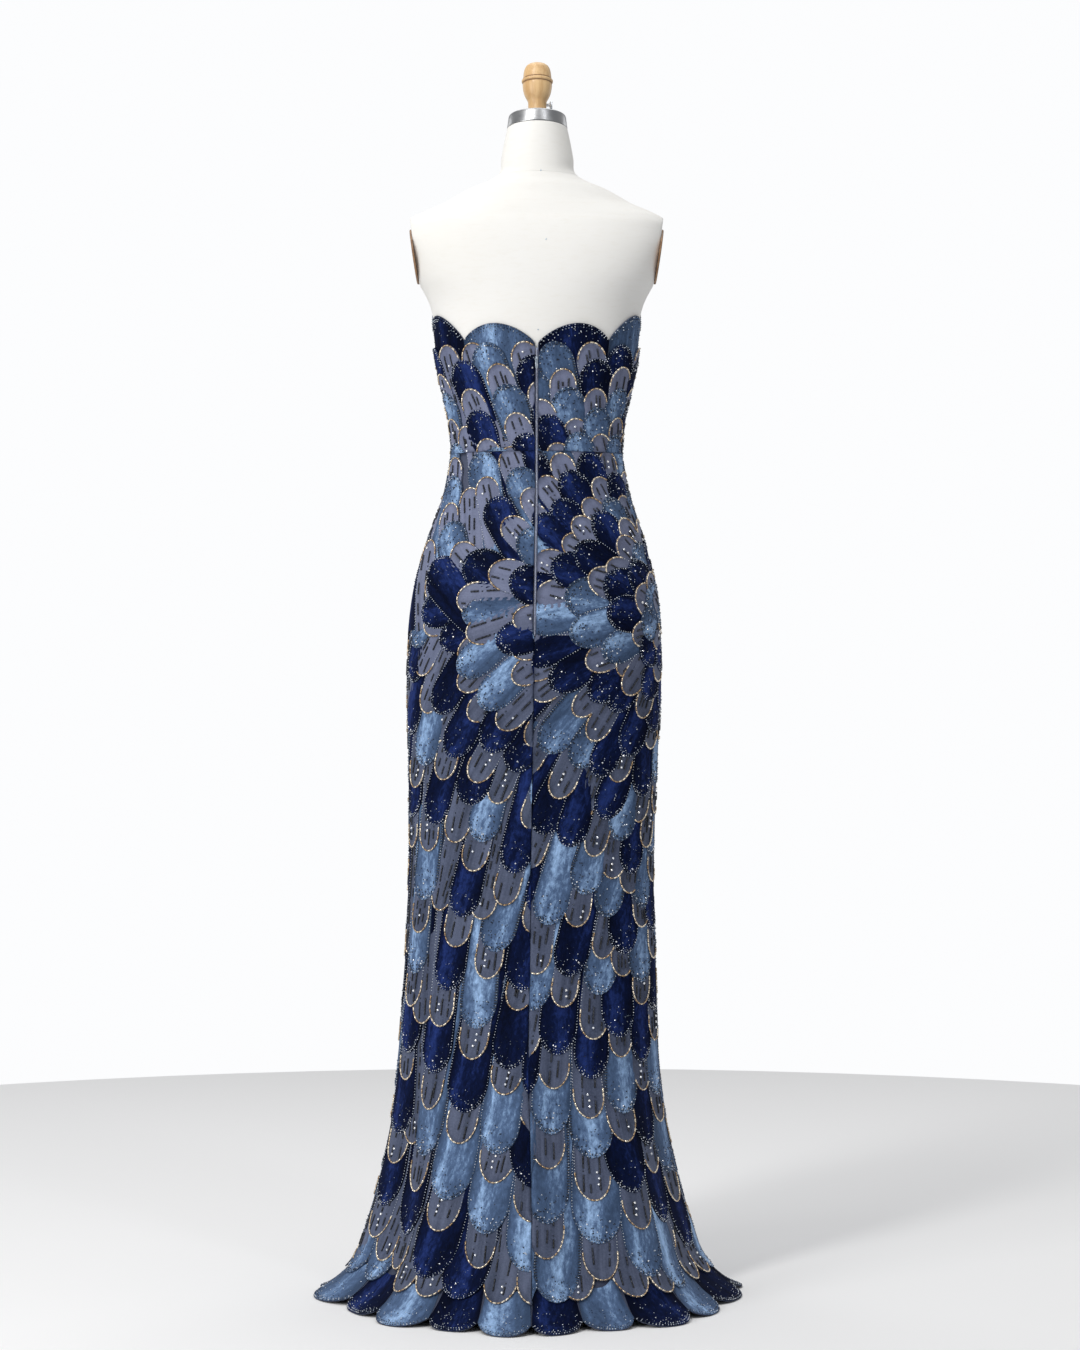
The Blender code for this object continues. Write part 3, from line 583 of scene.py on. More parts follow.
def meshPiece(name, points, faces, materials, attributes=None, faceMaterials=None, smooth=True):
    mesh = bpy.data.meshes.new(name)
    counts = np.array([len(f) for f in faces]) if isinstance(faces, list) else np.full(len(faces), faces.shape[1])
    corners = np.concatenate(faces) if isinstance(faces, list) else faces.ravel()
    mesh.vertices.add(len(points))
    mesh.vertices.foreach_set("co", np.asarray(points, np.float32).ravel())
    mesh.loops.add(len(corners))
    mesh.loops.foreach_set("vertex_index", corners.astype(np.int32))
    mesh.polygons.add(len(counts))
    starts = np.concatenate([[0], np.cumsum(counts)[:-1]])
    mesh.polygons.foreach_set("loop_start", starts.astype(np.int32))
    if faceMaterials is not None:
        mesh.polygons.foreach_set("material_index", np.asarray(faceMaterials, np.int32))
    for label, values in (attributes or {}).items():
        mesh.attributes.new(label, "FLOAT", "POINT").data.foreach_set("value", np.asarray(values, np.float32).ravel())
    mesh.update(calc_edges=True)
    mesh.validate()
    if smooth:
        mesh.shade_smooth()
    for material in materials:
        mesh.materials.append(finishes[material])
    piece = bpy.data.objects.new(name, mesh)
    bpy.context.scene.collection.objects.link(piece)
    return seat(piece)


def seat(piece, body=mainBody, replaced=()):
    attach(piece, body)
    if replaced:
        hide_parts(*replaced)
    return piece


def gridIndex(rows, columns):
    return np.arange(rows * columns).reshape(rows, columns)


def gridFaces(rows, columns):
    index = gridIndex(rows, columns)
    return np.stack([index[:-1, :-1], index[:-1, 1:], index[1:, 1:], index[1:, :-1]], -1).reshape(-1, 4)


def tubeFaces(rows, columns):  # the walls of a tube and its two end faces
    index = gridIndex(rows, columns)
    over = np.roll(index, -1, 1)
    walls = np.stack([index[:-1], over[:-1], over[1:], index[1:]], -1).reshape(-1, 4)
    return [list(face) for face in walls] + [list(index[0, ::-1]), list(index[-1])]


def only(*pieces):  # selects them, the first one active
    bpy.ops.object.select_all(action="DESELECT")
    for piece in pieces:
        piece.select_set(True)
    bpy.context.view_layer.objects.active = pieces[0]
    return pieces[0]


# Cloth shells of the six panels

shells = {
    "steps": 3,  # to each step of the scallops
    "skirtRows": 66,
    "hemRows": 9,
    "bodiceRows": 26,
    "cuts": {  # flat width and length of each panel's cut, and its area
        "skirt_front": (0.9, 1.28, 0.634),
        "skirt_back": (0.49, 1.3, 0.336),
        "bodice_front": (0.44, 0.24, 0.084),
        "bodice_back": (0.19, 0.21, 0.033),
    },
}


def halfGap(angleDegrees, row):  # in metres: the zip's opening at the upper centre back, a seam's elsewhere
    atBack = np.abs(wrapped(angleDegrees)) < 1e-3
    zipped = atBack & (bodyAt("z", row) > gown["zipBottomZ"] - 0.0015)
    return np.where(zipped, gown["zipWidth"] / 2 + gown["seamGap"], gown["seamGap"] / 2)


def shellRows(node, degrees):
    if node.startswith("skirt"):
        hem = hemRow(degrees)
        shares = np.linspace(0, 1, shells["hemRows"], endpoint=False)[:, None]
        low = hem + (gown["hemFullRow"] - hem) * shares
        levels = np.linspace(gown["hemFullRow"], rowAtZ(gown["waistZ"] - gown["seamGap"] / 2), shells["skirtRows"])
        return np.concatenate([low, np.repeat(levels[:, None], len(degrees), 1)])
    foot = gown["waistZ"] + gown["seamGap"] / 2
    shares = np.linspace(0, 1, shells["bodiceRows"])[:, None]
    return rowAtZ(foot + (topZ(degrees) - foot) * shares)


def clothShell(node, first, last):
    steps = int(round((last - first) / 360.0 * gown["angleSteps"] * shells["steps"]))
    degrees = np.linspace(first, last, steps + 1)
    rows = shellRows(node, degrees)
    angles = np.radians(np.repeat(degrees[None, :], len(rows), 0))
    for column, sign in ((0, 1), (-1, -1)):  # step off the seam
        here, row = angles[:, column], rows[:, column]
        around = np.linalg.norm(bodyPoint(here + 0.01, row) - bodyPoint(here, row), axis=-1) / 0.01
        angles[:, column] = here + sign * halfGap(np.degrees(here), row) / around
    outer = bodyPoint(angles, rows)
    normals = bodyNormal(angles, rows)
    inner = outer - normals * gown["cloth"]
    inner[..., 2] = np.maximum(inner[..., 2], 0.0001)
    count, width = rows.shape
    size = count * width
    index = gridIndex(count, width)
    rim = np.concatenate([index[0, :], index[1:, -1], index[-1, -2::-1], index[-2:0:-1, 0]])
    following = np.roll(rim, -1)
    sides = np.stack([rim, rim + size, following + size, following], -1)
    faces = np.concatenate([gridFaces(count, width), size + gridFaces(count, width)[:, ::-1], sides])
    points = np.concatenate([outer.reshape(-1, 3), inner.reshape(-1, 3)])
    piece = meshPiece("shell_" + node, points, faces, ["groundMesh"])
    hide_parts(node)
    return piece


clothShells = {part + panel: clothShell(part + panel, *ends)
               for part in ("skirt_", "bodice_") for panel, ends in panelTurns.items()}
print("cloth shells")


# Petals. One is told by its tip's turn and up, its lean, length and width

petalForm = {
    "across": 11,
    "alongSteps": 14,
    "tipRound": ((0.09, 0.2), (1.05, 1.45)),  # petal lengths, and the tip's length there for each half width
    "taper": 0.2,  # how much narrower the root is
    "rootLift": 0.0004,
    "tipLift": 0.0036,
    "sinkLength": 1.75,  # pitches from the tip's height to the root's
    "sheerBehind": 0.19,  # pitches: a sheer petal lies as deep as if its tip were this much further down
    "toneRaise": 0.0007,
    "crown": 0.0003,
    "sheerCrown": 0.3,  # of a velvet's crown
    "rimDrop": 0.0015,
    "rimOut": 0.0005,
    "panelRoom": 0.08,  # degrees kept free at a panel's sides
    "cutRoom": 0.0002,
    "zipRoom": 0.0006,
    "seamRoom": 0.0002,
}
petalKinds = ("lightVelvet", "navyVelvet", "sheerPetal")
light, navy, sheer = range(len(petalKinds))
waistUp = float(upAtZ(gown["waistZ"]))

fan = {  # petals point away from a place on the wearer's right hip, and straight down or up far from it
    "turn": 88.0,
    "up": float(upAtZ(1.0)),
    "pull": 1.1,
    "fade": 0.6,
}
zones = [  # each fills the panels' lengths between two levels, starting at the first
    {"part": "skirt", "tips": (0.034, 0.995), "spacing": 18.0,
     "offsets": {"back_right": 5.0, "front": 12.0, "back_left": 16.0}},
    {"part": "skirt", "tips": (1.262, 1.002), "spacing": 23.0,
     "offsets": {"back_right": 9.0, "front": 18.0, "back_left": 14.0}},
    {"part": "bodice", "tips": (1.385, 1.232), "spacing": 24.0,
     "offsets": {"back_right": 14.0, "front": 6.0, "back_left": 10.0}},
]
petalSizes = {
    "pitchLevels": (0.0, 0.5, 0.7, 0.85, 1.0, 1.1, 1.5),
    "pitches": (0.118, 0.116, 0.106, 0.092, 0.08, 0.073, 0.07),  # from one tip to the next in a column
    "overlap": 1.08,  # width for each column's width
    "narrowest": 0.05,
    "widest": 0.07,
    "sheerShare": 0.76,  # of a velvet's width
    "reach": 2.2,  # length for each pitch
    "lightShare": 0.5,
    "straight": 0.26,  # the longest way from the tip that is followed
    "past": 0.035,  # and how much more may lie past it
    "shortest": 0.085,  # a shorter one is rounded at both ends
    "apart": {  # least distance between two tips, in widths aside and in pitches ahead
        "flow": (0.62, 0.7),
        "velvet": (0.86, 0.84),
        "sheer": (1.0, 0.84),
        "extra": (0.72, 1.5),
        "fromVelvet": (0.5, 0.22),
    },
    "flowStep": 0.004,
    "gapStep": 0.011,
    "highestZ": 1.44,
}
degreesPerRadian = 57.3


def spread(number):  # an even, unordered value from 0 to 1 for each whole number
    return (number * 0.6180339887) % 1.0


def pitchAt(up):
    return np.interp(zAtUp(up), petalSizes["pitchLevels"], petalSizes["pitches"])


def climbAt(rise):
    return rise * (1.0 + (rise / fan["fade"]) ** 2)


def flow(turn, up, reach):  # where a petal points, as steps round and up
    across = fan["pull"] * reach * degreesPerRadian * math.sin(math.radians(turn - fan["turn"]))
    climb = climbAt(up - fan["up"])
    size = math.hypot(across, climb) + 1e-6
    return across / size, climb / size


def rootRoom(turn, up, toward, reach):  # how long a straight petal may be before it crosses the flow
    length = 0.0
    while length < petalSizes["straight"]:
        length += 0.01
        along = flow(turn - toward[0] * length / reach, up - toward[1] * length, reach)
        if along[0] * toward[0] + along[1] * toward[1] < 0.5:
            break
    return length + petalSizes["past"]


class Cloth:  # one panel of the skirt or bodice, with the petals that lie on it so far
    def __init__(self, panel, low, high, seed):
        self.panel = panel
        self.first, self.last = panelTurns[panel]
        self.low, self.high = float(upAtZ(low)), float(upAtZ(high))
        self.rng = np.random.default_rng(seed)
        self.petals = []
        self.taken = {"velvet": np.empty((0, 2)), "sheer": np.empty((0, 2))}

    def measures(self, turn, up, spacing):
        reach, pitch = float(reachAt(self.panel, up)), float(pitchAt(up))
        width = min(max(petalSizes["overlap"] * spacing * reach, petalSizes["narrowest"]), petalSizes["widest"])
        return reach, flow(turn, up, reach), pitch, width

    def free(self, kind, turn, up, reach, toward, across, along):
        step = (self.taken[kind] - (turn, up)) * (reach, 1.0)
        aside = step[:, 0] * toward[1] - step[:, 1] * toward[0]
        ahead = step[:, 0] * toward[0] + step[:, 1] * toward[1]
        return not ((aside / across) ** 2 + (ahead / along) ** 2 < 1).any()

    def lay(self, kind, turn, up, spacing, apart):
        reach, toward, pitch, width = self.measures(turn, up, spacing)
        tests = [(kind, *apart)]
        if kind == "sheer":
            width *= petalSizes["sheerShare"]
            tests.append(("velvet", *petalSizes["apart"]["fromVelvet"]))
        for other, aside, ahead in tests:
            if not self.free(other, turn, up, reach, toward, aside * width, ahead * pitch):
                return
        width *= self.rng.uniform(0.93, 1.07)
        length = min(pitch * petalSizes["reach"] * self.rng.uniform(0.95, 1.05), rootRoom(turn, up, toward, reach))
        margin = (width / 2 + 0.9 * length * abs(toward[0])) / reach
        if not self.first - margin < turn < self.last + margin:
            return
        self.taken[kind] = np.vstack([self.taken[kind], (turn, up)])
        lean = math.atan2(toward[0], -toward[1]) + math.radians(self.rng.normal(0, 3.0))
        paint = sheer if kind == "sheer" else light if self.rng.uniform() < petalSizes["lightShare"] else navy
        self.petals.append((turn, up, lean, length, width, paint, self.rng.uniform(), self.first, self.last,
                            self.low, self.high, float(length < petalSizes["shortest"])))

    def fillZone(self, zone, zoneIndex, kind):  # columns that follow the flow, and then whatever gaps are left
        spacing = zone["spacing"]
        startUp, endUp = (float(upAtZ(z)) for z in zone["tips"])
        rise = 1.0 if endUp > startUp else -1.0
        for column in range(-4, int((self.last - self.first) / spacing) + 5):
            stray = spread(3 * column + 5 * zoneIndex) - 0.5
            turn = self.first + zone["offsets"][self.panel] + column * spacing + 2.0 * stray
            up = startUp
            wait = (0.6 * column * rise + 0.14 * stray + (0.58 if kind == "sheer" else 0.0)) % 1.0
            while (endUp - up) * rise > 0:
                reach, toward, pitch, _ = self.measures(turn, up, spacing)
                if wait <= 0.0:
                    wait += 1.0 + self.rng.uniform(-0.07, 0.07)
                    self.lay(kind, turn, up, spacing, petalSizes["apart"]["flow"])
                if abs(toward[1]) < 0.05:
                    break
                turn -= toward[0] * petalSizes["flowStep"] / reach
                up -= toward[1] * petalSizes["flowStep"]
                wait -= petalSizes["flowStep"] / pitch
        for up in np.arange(startUp, endUp, petalSizes["gapStep"] * rise):
            step = petalSizes["gapStep"] / float(reachAt(self.panel, up))
            for turn in np.arange(self.first - 6, self.last + 6, step):
                for which in (kind, "extra") if kind == "sheer" else (kind,):
                    self.lay(kind, turn, up, spacing, petalSizes["apart"][which])


def layPetals():
    petals = []
    for panelIndex, panel in enumerate(panelTurns):
        for part, low, high in (("skirt", 0.0, gown["waistZ"]), ("bodice", gown["waistZ"], petalSizes["highestZ"])):
            cloth = Cloth(panel, low, high, 7 + 10 * panelIndex + (part == "bodice"))
            for kind in ("velvet", "sheer"):
                for zoneIndex, zone in enumerate(zones):
                    if zone["part"] == part:
                        cloth.fillZone(zone, zoneIndex, kind)
            petals += cloth.petals
    return petals


petalFields = ("turn", "up", "lean", "length", "width", "paint", "tone", "first", "last", "cutLow", "cutHigh",
               "bothEnds")
petals = dict(zip(petalFields, np.array(layPetals()).T))
petals["round"] = np.interp(petals["length"], *petalForm["tipRound"])
petalCount = len(petals["turn"])
print("petals laid:", petalCount, "sheer:", int((petals["paint"] == sheer).sum()))


def petalAxes(i):  # across the petal, and from its tip to its root, in metres round and up; lean 0 points down
    sine, cosine = np.sin(petals["lean"][i]), np.cos(petals["lean"][i])
    return (cosine, sine), (-sine, cosine)


def panelReach(i, up):
    return metresPerDegree(np.full_like(up, (petals["first"][i] + petals["last"][i]) / 2), up)


def toSkin(i, x, y):
    (ax, ay), (bx, by) = petalAxes(i)
    up = petals["up"][i] + ay * x + by * y
    return petals["turn"][i] + (ax * x + bx * y) / panelReach(i, up), up


def toPetal(i, turn, up):
    (ax, ay), (bx, by) = petalAxes(i)
    roundIt, rise = (turn - petals["turn"][i]) * panelReach(i, up), up - petals["up"][i]
    return ax * roundIt + ay * rise, bx * roundIt + by * rise


def petalSize(i):  # half its width, its length, and the length of its round tip
    half = petals["width"][i] / 2
    return half, petals["length"][i], half * petals["round"][i]


def quarterRound(share):
    return np.sqrt(np.clip(1.0 - (1.0 - np.clip(share, 0, 1)) ** 2, 0, 1))


def narrowed(i, y):  # towards the root
    _, length, tip = petalSize(i)
    taper = 0.0 if petals["bothEnds"][i] else petalForm["taper"]
    return 1.0 - taper * np.clip((y - tip) / max(length - tip, 1e-4), 0, 1)


def halfWidthAt(i, y):  # of the outline, at a distance from the tip
    half, length, tip = petalSize(i)
    wide = half * quarterRound(y / tip) * narrowed(i, y)
    if petals["bothEnds"][i]:
        wide = wide * quarterRound((length - y) / tip)
    return np.where((y < 0) | (y > length), -1.0, wide)


def downstream(turn, up, reach):  # a level that grows along the flow, and how fast it grows there
    rise, swing = up - fan["up"], np.radians(turn - fan["turn"])
    radius = degreesPerRadian * reach
    level = rise**2 / 2 * (1.0 + (rise / fan["fade"]) ** 2 / 2) - fan["pull"] * radius**2 * np.cos(swing)
    return level, np.maximum(np.hypot(fan["pull"] * radius * np.sin(swing), climbAt(rise)), 0.04)


def liftAt(i, x, y, turn, up):  # of two petals at one place, the one whose tip is nearer to the fan lies on top
    level, steepness = downstream(turn, up, panelReach(i, up))
    isSheer = petals["paint"][i] == sheer
    behind = (petals["tipLevel"][i] - level) / steepness / petals["pitch"][i] + isSheer * petalForm["sheerBehind"]
    wide = np.maximum(halfWidthAt(i, y), 1e-4)
    height = petalForm["crown"] * (petalForm["sheerCrown"] if isSheer else 1.0)
    crown = height * (1.0 - np.clip(np.abs(x) / wide, 0, 1) ** 3)
    lift = np.interp(behind, (0.0, petalForm["sinkLength"]), (petalForm["tipLift"], petalForm["rootLift"]))
    return lift + crown + petalForm["toneRaise"] * petals["tone"][i]


tipReach = np.array([float(panelReach(i, petals["up"][i:i + 1])[0]) for i in range(petalCount)])
petals["tipLevel"] = downstream(petals["turn"], petals["up"], tipReach)[0]
petals["pitch"] = pitchAt(petals["up"])


def petalMesh(i):
    half, length, tip = petalSize(i)
    bothEnds = bool(petals["bothEnds"][i])
    u = np.sin(np.linspace(-0.5, 0.5, petalForm["across"]) * math.pi)
    v = np.linspace(0, 1, petalForm["alongSteps"]) ** 0.8
    tipEnd = tip * (1.0 - np.sqrt(1.0 - u * u))
    rootEnd = length - (tipEnd if bothEnds else 0.0 * u)
    y = rootEnd[None, :] + (tipEnd - rootEnd)[None, :] * v[:, None]
    x = u[None, :] * half * narrowed(i, y)
    lift = liftAt(i, x, y, *toSkin(i, x, y))
    rows, columns = x.shape
    index = gridIndex(rows, columns)
    outline = np.concatenate([index[:, 0], index[-1, 1:], index[-2::-1, -1]])
    if bothEnds:
        outline = np.concatenate([outline, index[0, -2:0:-1]])
    pairs = len(outline) if bothEnds else len(outline) - 1
    rimX, rimY = x.ravel()[outline] * (1.0 + petalForm["rimOut"] / half), y.ravel()[outline]
    rimLift = np.maximum(lift.ravel()[outline] - petalForm["rimDrop"], 0.0001)
    below = np.arange(len(outline)) + rows * columns
    rimFaces = np.stack([outline, below, np.roll(below, -1), np.roll(outline, -1)], -1)[:pairs]
    faces = np.concatenate([gridFaces(rows, columns), rimFaces])
    allX, allY = np.concatenate([x.ravel(), rimX]), np.concatenate([y.ravel(), rimY])
    # share towards the petal's edge, 1 on its rim, where the velvet's colour is darkened as painted shade
    rim = np.concatenate([np.abs(np.repeat(u[None, :], rows, 0)).ravel() ** 2, np.ones(len(outline))])
    turn, up = toSkin(i, allX, allY)
    panelRoom, cutRoom = petalForm["panelRoom"], petalForm["cutRoom"]
    turn = np.clip(turn, petals["first"][i] + panelRoom, petals["last"][i] - panelRoom)
    up = np.clip(up, petals["cutLow"][i] + cutRoom, petals["cutHigh"][i] - cutRoom)
    return turn, up, np.concatenate([lift.ravel(), rimLift]), faces, allX, allY, rim


def zipClear(turn, up):  # leaves the zip's strip open
    atZip = gown["zipWidth"] / 2 + petalForm["zipRoom"]
    room = np.where(zAtUp(up) > gown["zipBottomZ"] - 0.001, atZip, petalForm["seamRoom"])
    perDegree = metresPerDegree(turn, up)
    return np.clip(turn, room / perDegree, 360.0 - room / perDegree)


def partOf(i):
    return ("bodice_" if petals["cutLow"][i] > waistUp - 0.01 else "skirt_") + panelAt[petals["first"][i]]


class Pile:  # meshes joined into one piece for each panel
    def __init__(self, prefix, labels):
        self.prefix, self.labels, self.parts = prefix, labels, {}

    def add(self, panel, points, faces, paint, values):
        part = self.parts.setdefault(panel, {"points": [], "faces": [], "paint": [], "count": 0,
                                             "values": {label: [] for label in self.labels}})
        part["points"].append(points)
        part["faces"].append(faces + part["count"])
        part["paint"].append(paint)
        for label, value in zip(self.labels, values):
            part["values"][label].append(value)
        part["count"] += len(points)

    def build(self, materials):
        made = {}
        for panel, part in self.parts.items():
            attributes = {label: np.concatenate(value) for label, value in part["values"].items()}
            points, faces, paint = (np.concatenate(part[key]) for key in ("points", "faces", "paint"))
            made[panel] = meshPiece(self.prefix + panel, points, faces, materials, attributes, paint)
        return made


def addPetal(pile, part, points, faces, paint, x, y, tone, rim):  # without the faces that a cut left flat
    corner = points[faces]
    areas = np.linalg.norm(np.cross(corner[:, 2] - corner[:, 0], corner[:, 3] - corner[:, 1]), axis=-1) / 2
    faces = faces[areas > 2e-8]
    if len(faces) < 8:
        return
    used = np.unique(faces)
    renumber = np.full(len(points), -1)
    renumber[used] = np.arange(len(used))
    pile.add(part, points[used], renumber[faces], np.full(len(faces), paint),
             (x[used], y[used], np.full(len(used), tone), rim[used]))


def makePetals():
    # rim: share towards each petal's edge, where the velvet's colour is darkened as painted shade
    pile = Pile("petals_", ("across", "along", "tone", "rim"))
    for i in range(petalCount):
        turn, up, lift, faces, x, y, rim = petalMesh(i)
        points, _ = skinPlace(zipClear(turn, up), up, lift)
        addPetal(pile, partOf(i), points, faces, int(petals["paint"][i]), x, y, petals["tone"][i], rim)
    for lobe in edgeLobes:
        addPetal(pile, *lobeMesh(lobe))
    return pile.build(list(petalKinds))


# The scallops of the top edge and the hem are petals too, with the cloth's own outline

lobeForm = {
    "across": 13,
    "down": 8,
    "lift": 0.0007,
    "crown": 0.0006,
    "crownReach": 0.012,
    "narrowing": 0.12,
    "edgeGap": 0.0003,
    "seamRoom": (0.0003, 0.0023),  # at a seam, and at the zip between the top scallops
    "bodyRadius": 0.1,
    "hem": {"length": 0.075, "paints": (navy, light, navy, light, navy, navy, light, navy, light, navy)},
    "top": {"length": 0.1, "paints": (navy, light, navy, light)},
    "leftPaints": {"hem": (light, navy, light, navy, light, navy, light, light, navy, light),
                   "top": (light, navy, light, navy)},
}


def layLobes():
    lobes = []
    topEdges = np.arange(0, 181, 360.0 / gown["topLobes"])
    for place, notches in (("hem", hemNotches), ("top", topEdges)):
        for k in range(len(notches) - 1):
            for side in (1, -1):
                first, last = sorted((side * notches[k], side * notches[k + 1]))
                paints = lobeForm[place]["paints"] if side > 0 else lobeForm["leftPaints"][place]
                panel = "front" if abs(first + last) > 180 else "back_right" if side > 0 else "back_left"
                lobes.append({"place": place, "first": first, "last": last, "paint": paints[k],
                              "tone": spread(7 * k + 3 * (side > 0) + len(place)),
                              "part": ("skirt_" if place == "hem" else "bodice_") + panel})
    return lobes


def lobePoint(lobe, u, y, lift):  # u runs -1 to 1 over the scallop, y is metres in from its edge
    middle, half = (lobe["first"] + lobe["last"]) / 2, (lobe["last"] - lobe["first"]) / 2
    edge = middle + u * half
    length = lobeForm[lobe["place"]]["length"]
    angle = middle + u * half * (1.0 - lobeForm["narrowing"] * y / length)
    if lobe["place"] == "hem":
        up = upAtRow(hemRow(edge)) + lobeForm["edgeGap"] + y
    else:
        up = upAtZ(topZ(edge)) - lobeForm["edgeGap"] - y
    row = rowAtUp(up)
    atSeam, atZip = lobeForm["seamRoom"]
    room = np.where(np.abs(wrapped(edge)) < 30, atZip if lobe["place"] == "top" else atSeam, atSeam)
    limit = np.degrees(room / lobeForm["bodyRadius"])
    seams = np.array([-180.0, -90.0, 0.0, 90.0, 180.0])
    low = seams[np.searchsorted(seams, middle) - 1]
    angle = np.clip(angle, low + limit, low + 90.0 - limit)
    points = bodyPoint(np.radians(angle), row)
    normals = bodyNormal(np.radians(angle), row)
    return points + normals * np.asarray(lift)[..., None], normals, angle, up


def lobeLift(u, y):
    return lobeForm["lift"] + lobeForm["crown"] * (1 - u**4) * np.minimum(1.0, y / lobeForm["crownReach"])


def lobeMesh(lobe):
    u = np.sin(np.linspace(-0.5, 0.5, lobeForm["across"]) * math.pi)
    v = np.linspace(0, 1, lobeForm["down"])
    u, v = np.meshgrid(u, v)
    y = v * lobeForm[lobe["place"]]["length"]
    rows, columns = u.shape
    index = gridIndex(rows, columns)
    rim = np.concatenate([index[::-1, 0], index[0, 1:], index[1:, -1]])
    below = np.arange(len(rim)) + rows * columns
    allU, allY = np.concatenate([u.ravel(), u.ravel()[rim]]), np.concatenate([y.ravel(), y.ravel()[rim]])
    allLift = np.concatenate([lobeLift(u, y).ravel(), np.full(len(rim), -0.0002)])
    points = lobePoint(lobe, allU, allY, allLift)[0]
    faces = gridFaces(rows, columns)
    rimFaces = np.stack([rim[:-1], below[:-1], below[1:], rim[1:]], -1)
    if lobe["place"] == "top":
        faces = faces[:, ::-1]
    else:
        rimFaces = rimFaces[:, ::-1]
    faces = np.concatenate([faces, rimFaces])
    across = allU * math.radians(lobe["last"] - lobe["first"]) * lobeForm["bodyRadius"]
    # share towards the scallop's sides, where the velvet's colour is darkened as painted shade
    edgeShadeShare = np.clip(np.abs(allU) ** 2, 0, 1)
    return lobe["part"], points, faces, lobe["paint"], across, allY, lobe["tone"], edgeShadeShare


edgeLobes = layLobes()
petalPieces = makePetals()
print("petal pieces:", {node: len(piece.data.polygons) for node, piece in petalPieces.items()})


# Beads, bugles and crystals: small shapes from bpy.ops, copied along the petals wherever no other petal covers them

def copiesOf(own, corners, points, sides, sizes):  # a small shape at each point, turned to its three sides
    local = own * sizes
    copies = points[:, None] + sum(local[..., k:k + 1] * side for k, side in enumerate(sides))
    faces = corners + (np.arange(len(points)) * len(own))[:, None, None]
    return copies.reshape(-1, 3), faces.reshape(-1, 3)


def shapeOf():  # the points and triangles of the piece made last, which is then removed
    piece = only(bpy.context.object)
    bpy.ops.object.transform_apply(location=True, rotation=True, scale=True)
    bpy.ops.object.mode_set(mode="EDIT")
    bpy.ops.mesh.select_all(action="SELECT")
    bpy.ops.mesh.quads_convert_to_tris()
    bpy.ops.object.mode_set(mode="OBJECT")
    points = np.empty(len(piece.data.vertices) * 3)
    piece.data.vertices.foreach_get("co", points)
    corners = np.empty(len(piece.data.polygons) * 3, int)
    piece.data.polygons.foreach_get("vertices", corners)
    bpy.data.objects.remove(piece)
    return points.reshape(-1, 3), corners.reshape(-1, 3)


def smallShapes():
    bpy.ops.mesh.primitive_cone_add(vertices=6, radius1=1.0, radius2=0.0, depth=1.7, location=(0, 0, 0.05))
    seed = shapeOf()  # a low cone
    bpy.ops.mesh.primitive_cylinder_add(vertices=4, radius=1.0, depth=2.0, rotation=(0, math.pi / 2, 0))
    bugle = shapeOf()
    bpy.ops.mesh.primitive_ico_sphere_add(subdivisions=1, radius=1.0)
    return seed, bugle, shapeOf()


beadKinds = ("silverBead", "inkBead", "goldBugle", "inkBugle", "crystal")
silver, ink, goldTube, inkTube, stoneKind = range(len(beadKinds))
seedShape, bugleShape, stoneShape = range(3)
beadForm = {
    "edgePitch": 0.0041,
    "edgeRadius": 0.00112,
    "sideShare": 0.86,  # size of the edge's beads away from the tip
    "edgeInset": 0.0013,
    "nearTip": 0.36,  # pitches
    "second": {"inset": 0.0042, "pitch": 0.0038, "reach": 0.026, "radius": 0.00105},  # the row inside the edge's
    "tipReach": 0.04,  # how far from a velvet tip the loose beads reach
    "looseBeads": 44,
    "looseRadius": {"light": (0.001, 0.0015), "navy": (0.0006, 0.001)},
    "stitch": {"inset": 0.0024, "pitch": 0.0038, "from": 0.03, "half": (0.0019, 0.0007)},
    "chipRadius": 0.0014,
    "sheerInset": 0.0008,
    "buglePitch": 0.0066,
    "arcReach": 0.34,  # how far up its sides a sheer petal keeps its bugles, in pitches
    "bugleHalf": (0.0028, 0.0013),
    "sheerRadius": 0.00095,
    "streakPitch": 0.0058,
    "streakHalf": (0.0031, 0.00135),
    "dotRadius": 0.0015,
    "stoneRadius": 0.0021,
    "sunk": 0.55,  # a bead's middle stands this share of its half height off the petal
    "seamRoom": 0.0012,  # metres kept free of beads at the seams, the zip, the cuts and a petal's root
    "zipRoom": 0.0016,
    "cutRoom": 0.0015,
    "rootRoom": 0.002,
}


def outlineOf(i, inset):
    half, length, tip = petalSize(i)
    share = np.linspace(0, 1, 60)
    corner = np.concatenate([np.linspace(length, tip, 60, endpoint=False), tip * (1 - np.sin(share * math.pi / 2))])
    wide = np.maximum(halfWidthAt(i, np.clip(corner, 0, length - 1e-6)), 0.0)
    x = np.concatenate([-wide, wide[-2::-1]])
    y = np.concatenate([corner, corner[-2::-1]])
    shrink = (half - inset) / half
    return x * shrink, tip + (y - tip) * np.where(y < tip, (tip - inset) / tip, 1.0)


def stepsAlong(x, y, pitch):
    climbed = np.concatenate([[0], np.cumsum(np.hypot(np.diff(x), np.diff(y)))])
    marks = np.arange(pitch / 2, climbed[-1], pitch)
    ahead = np.minimum(marks + 0.0008, climbed[-1])
    return (np.interp(marks, climbed, x), np.interp(marks, climbed, y),
            np.interp(ahead, climbed, x), np.interp(ahead, climbed, y))


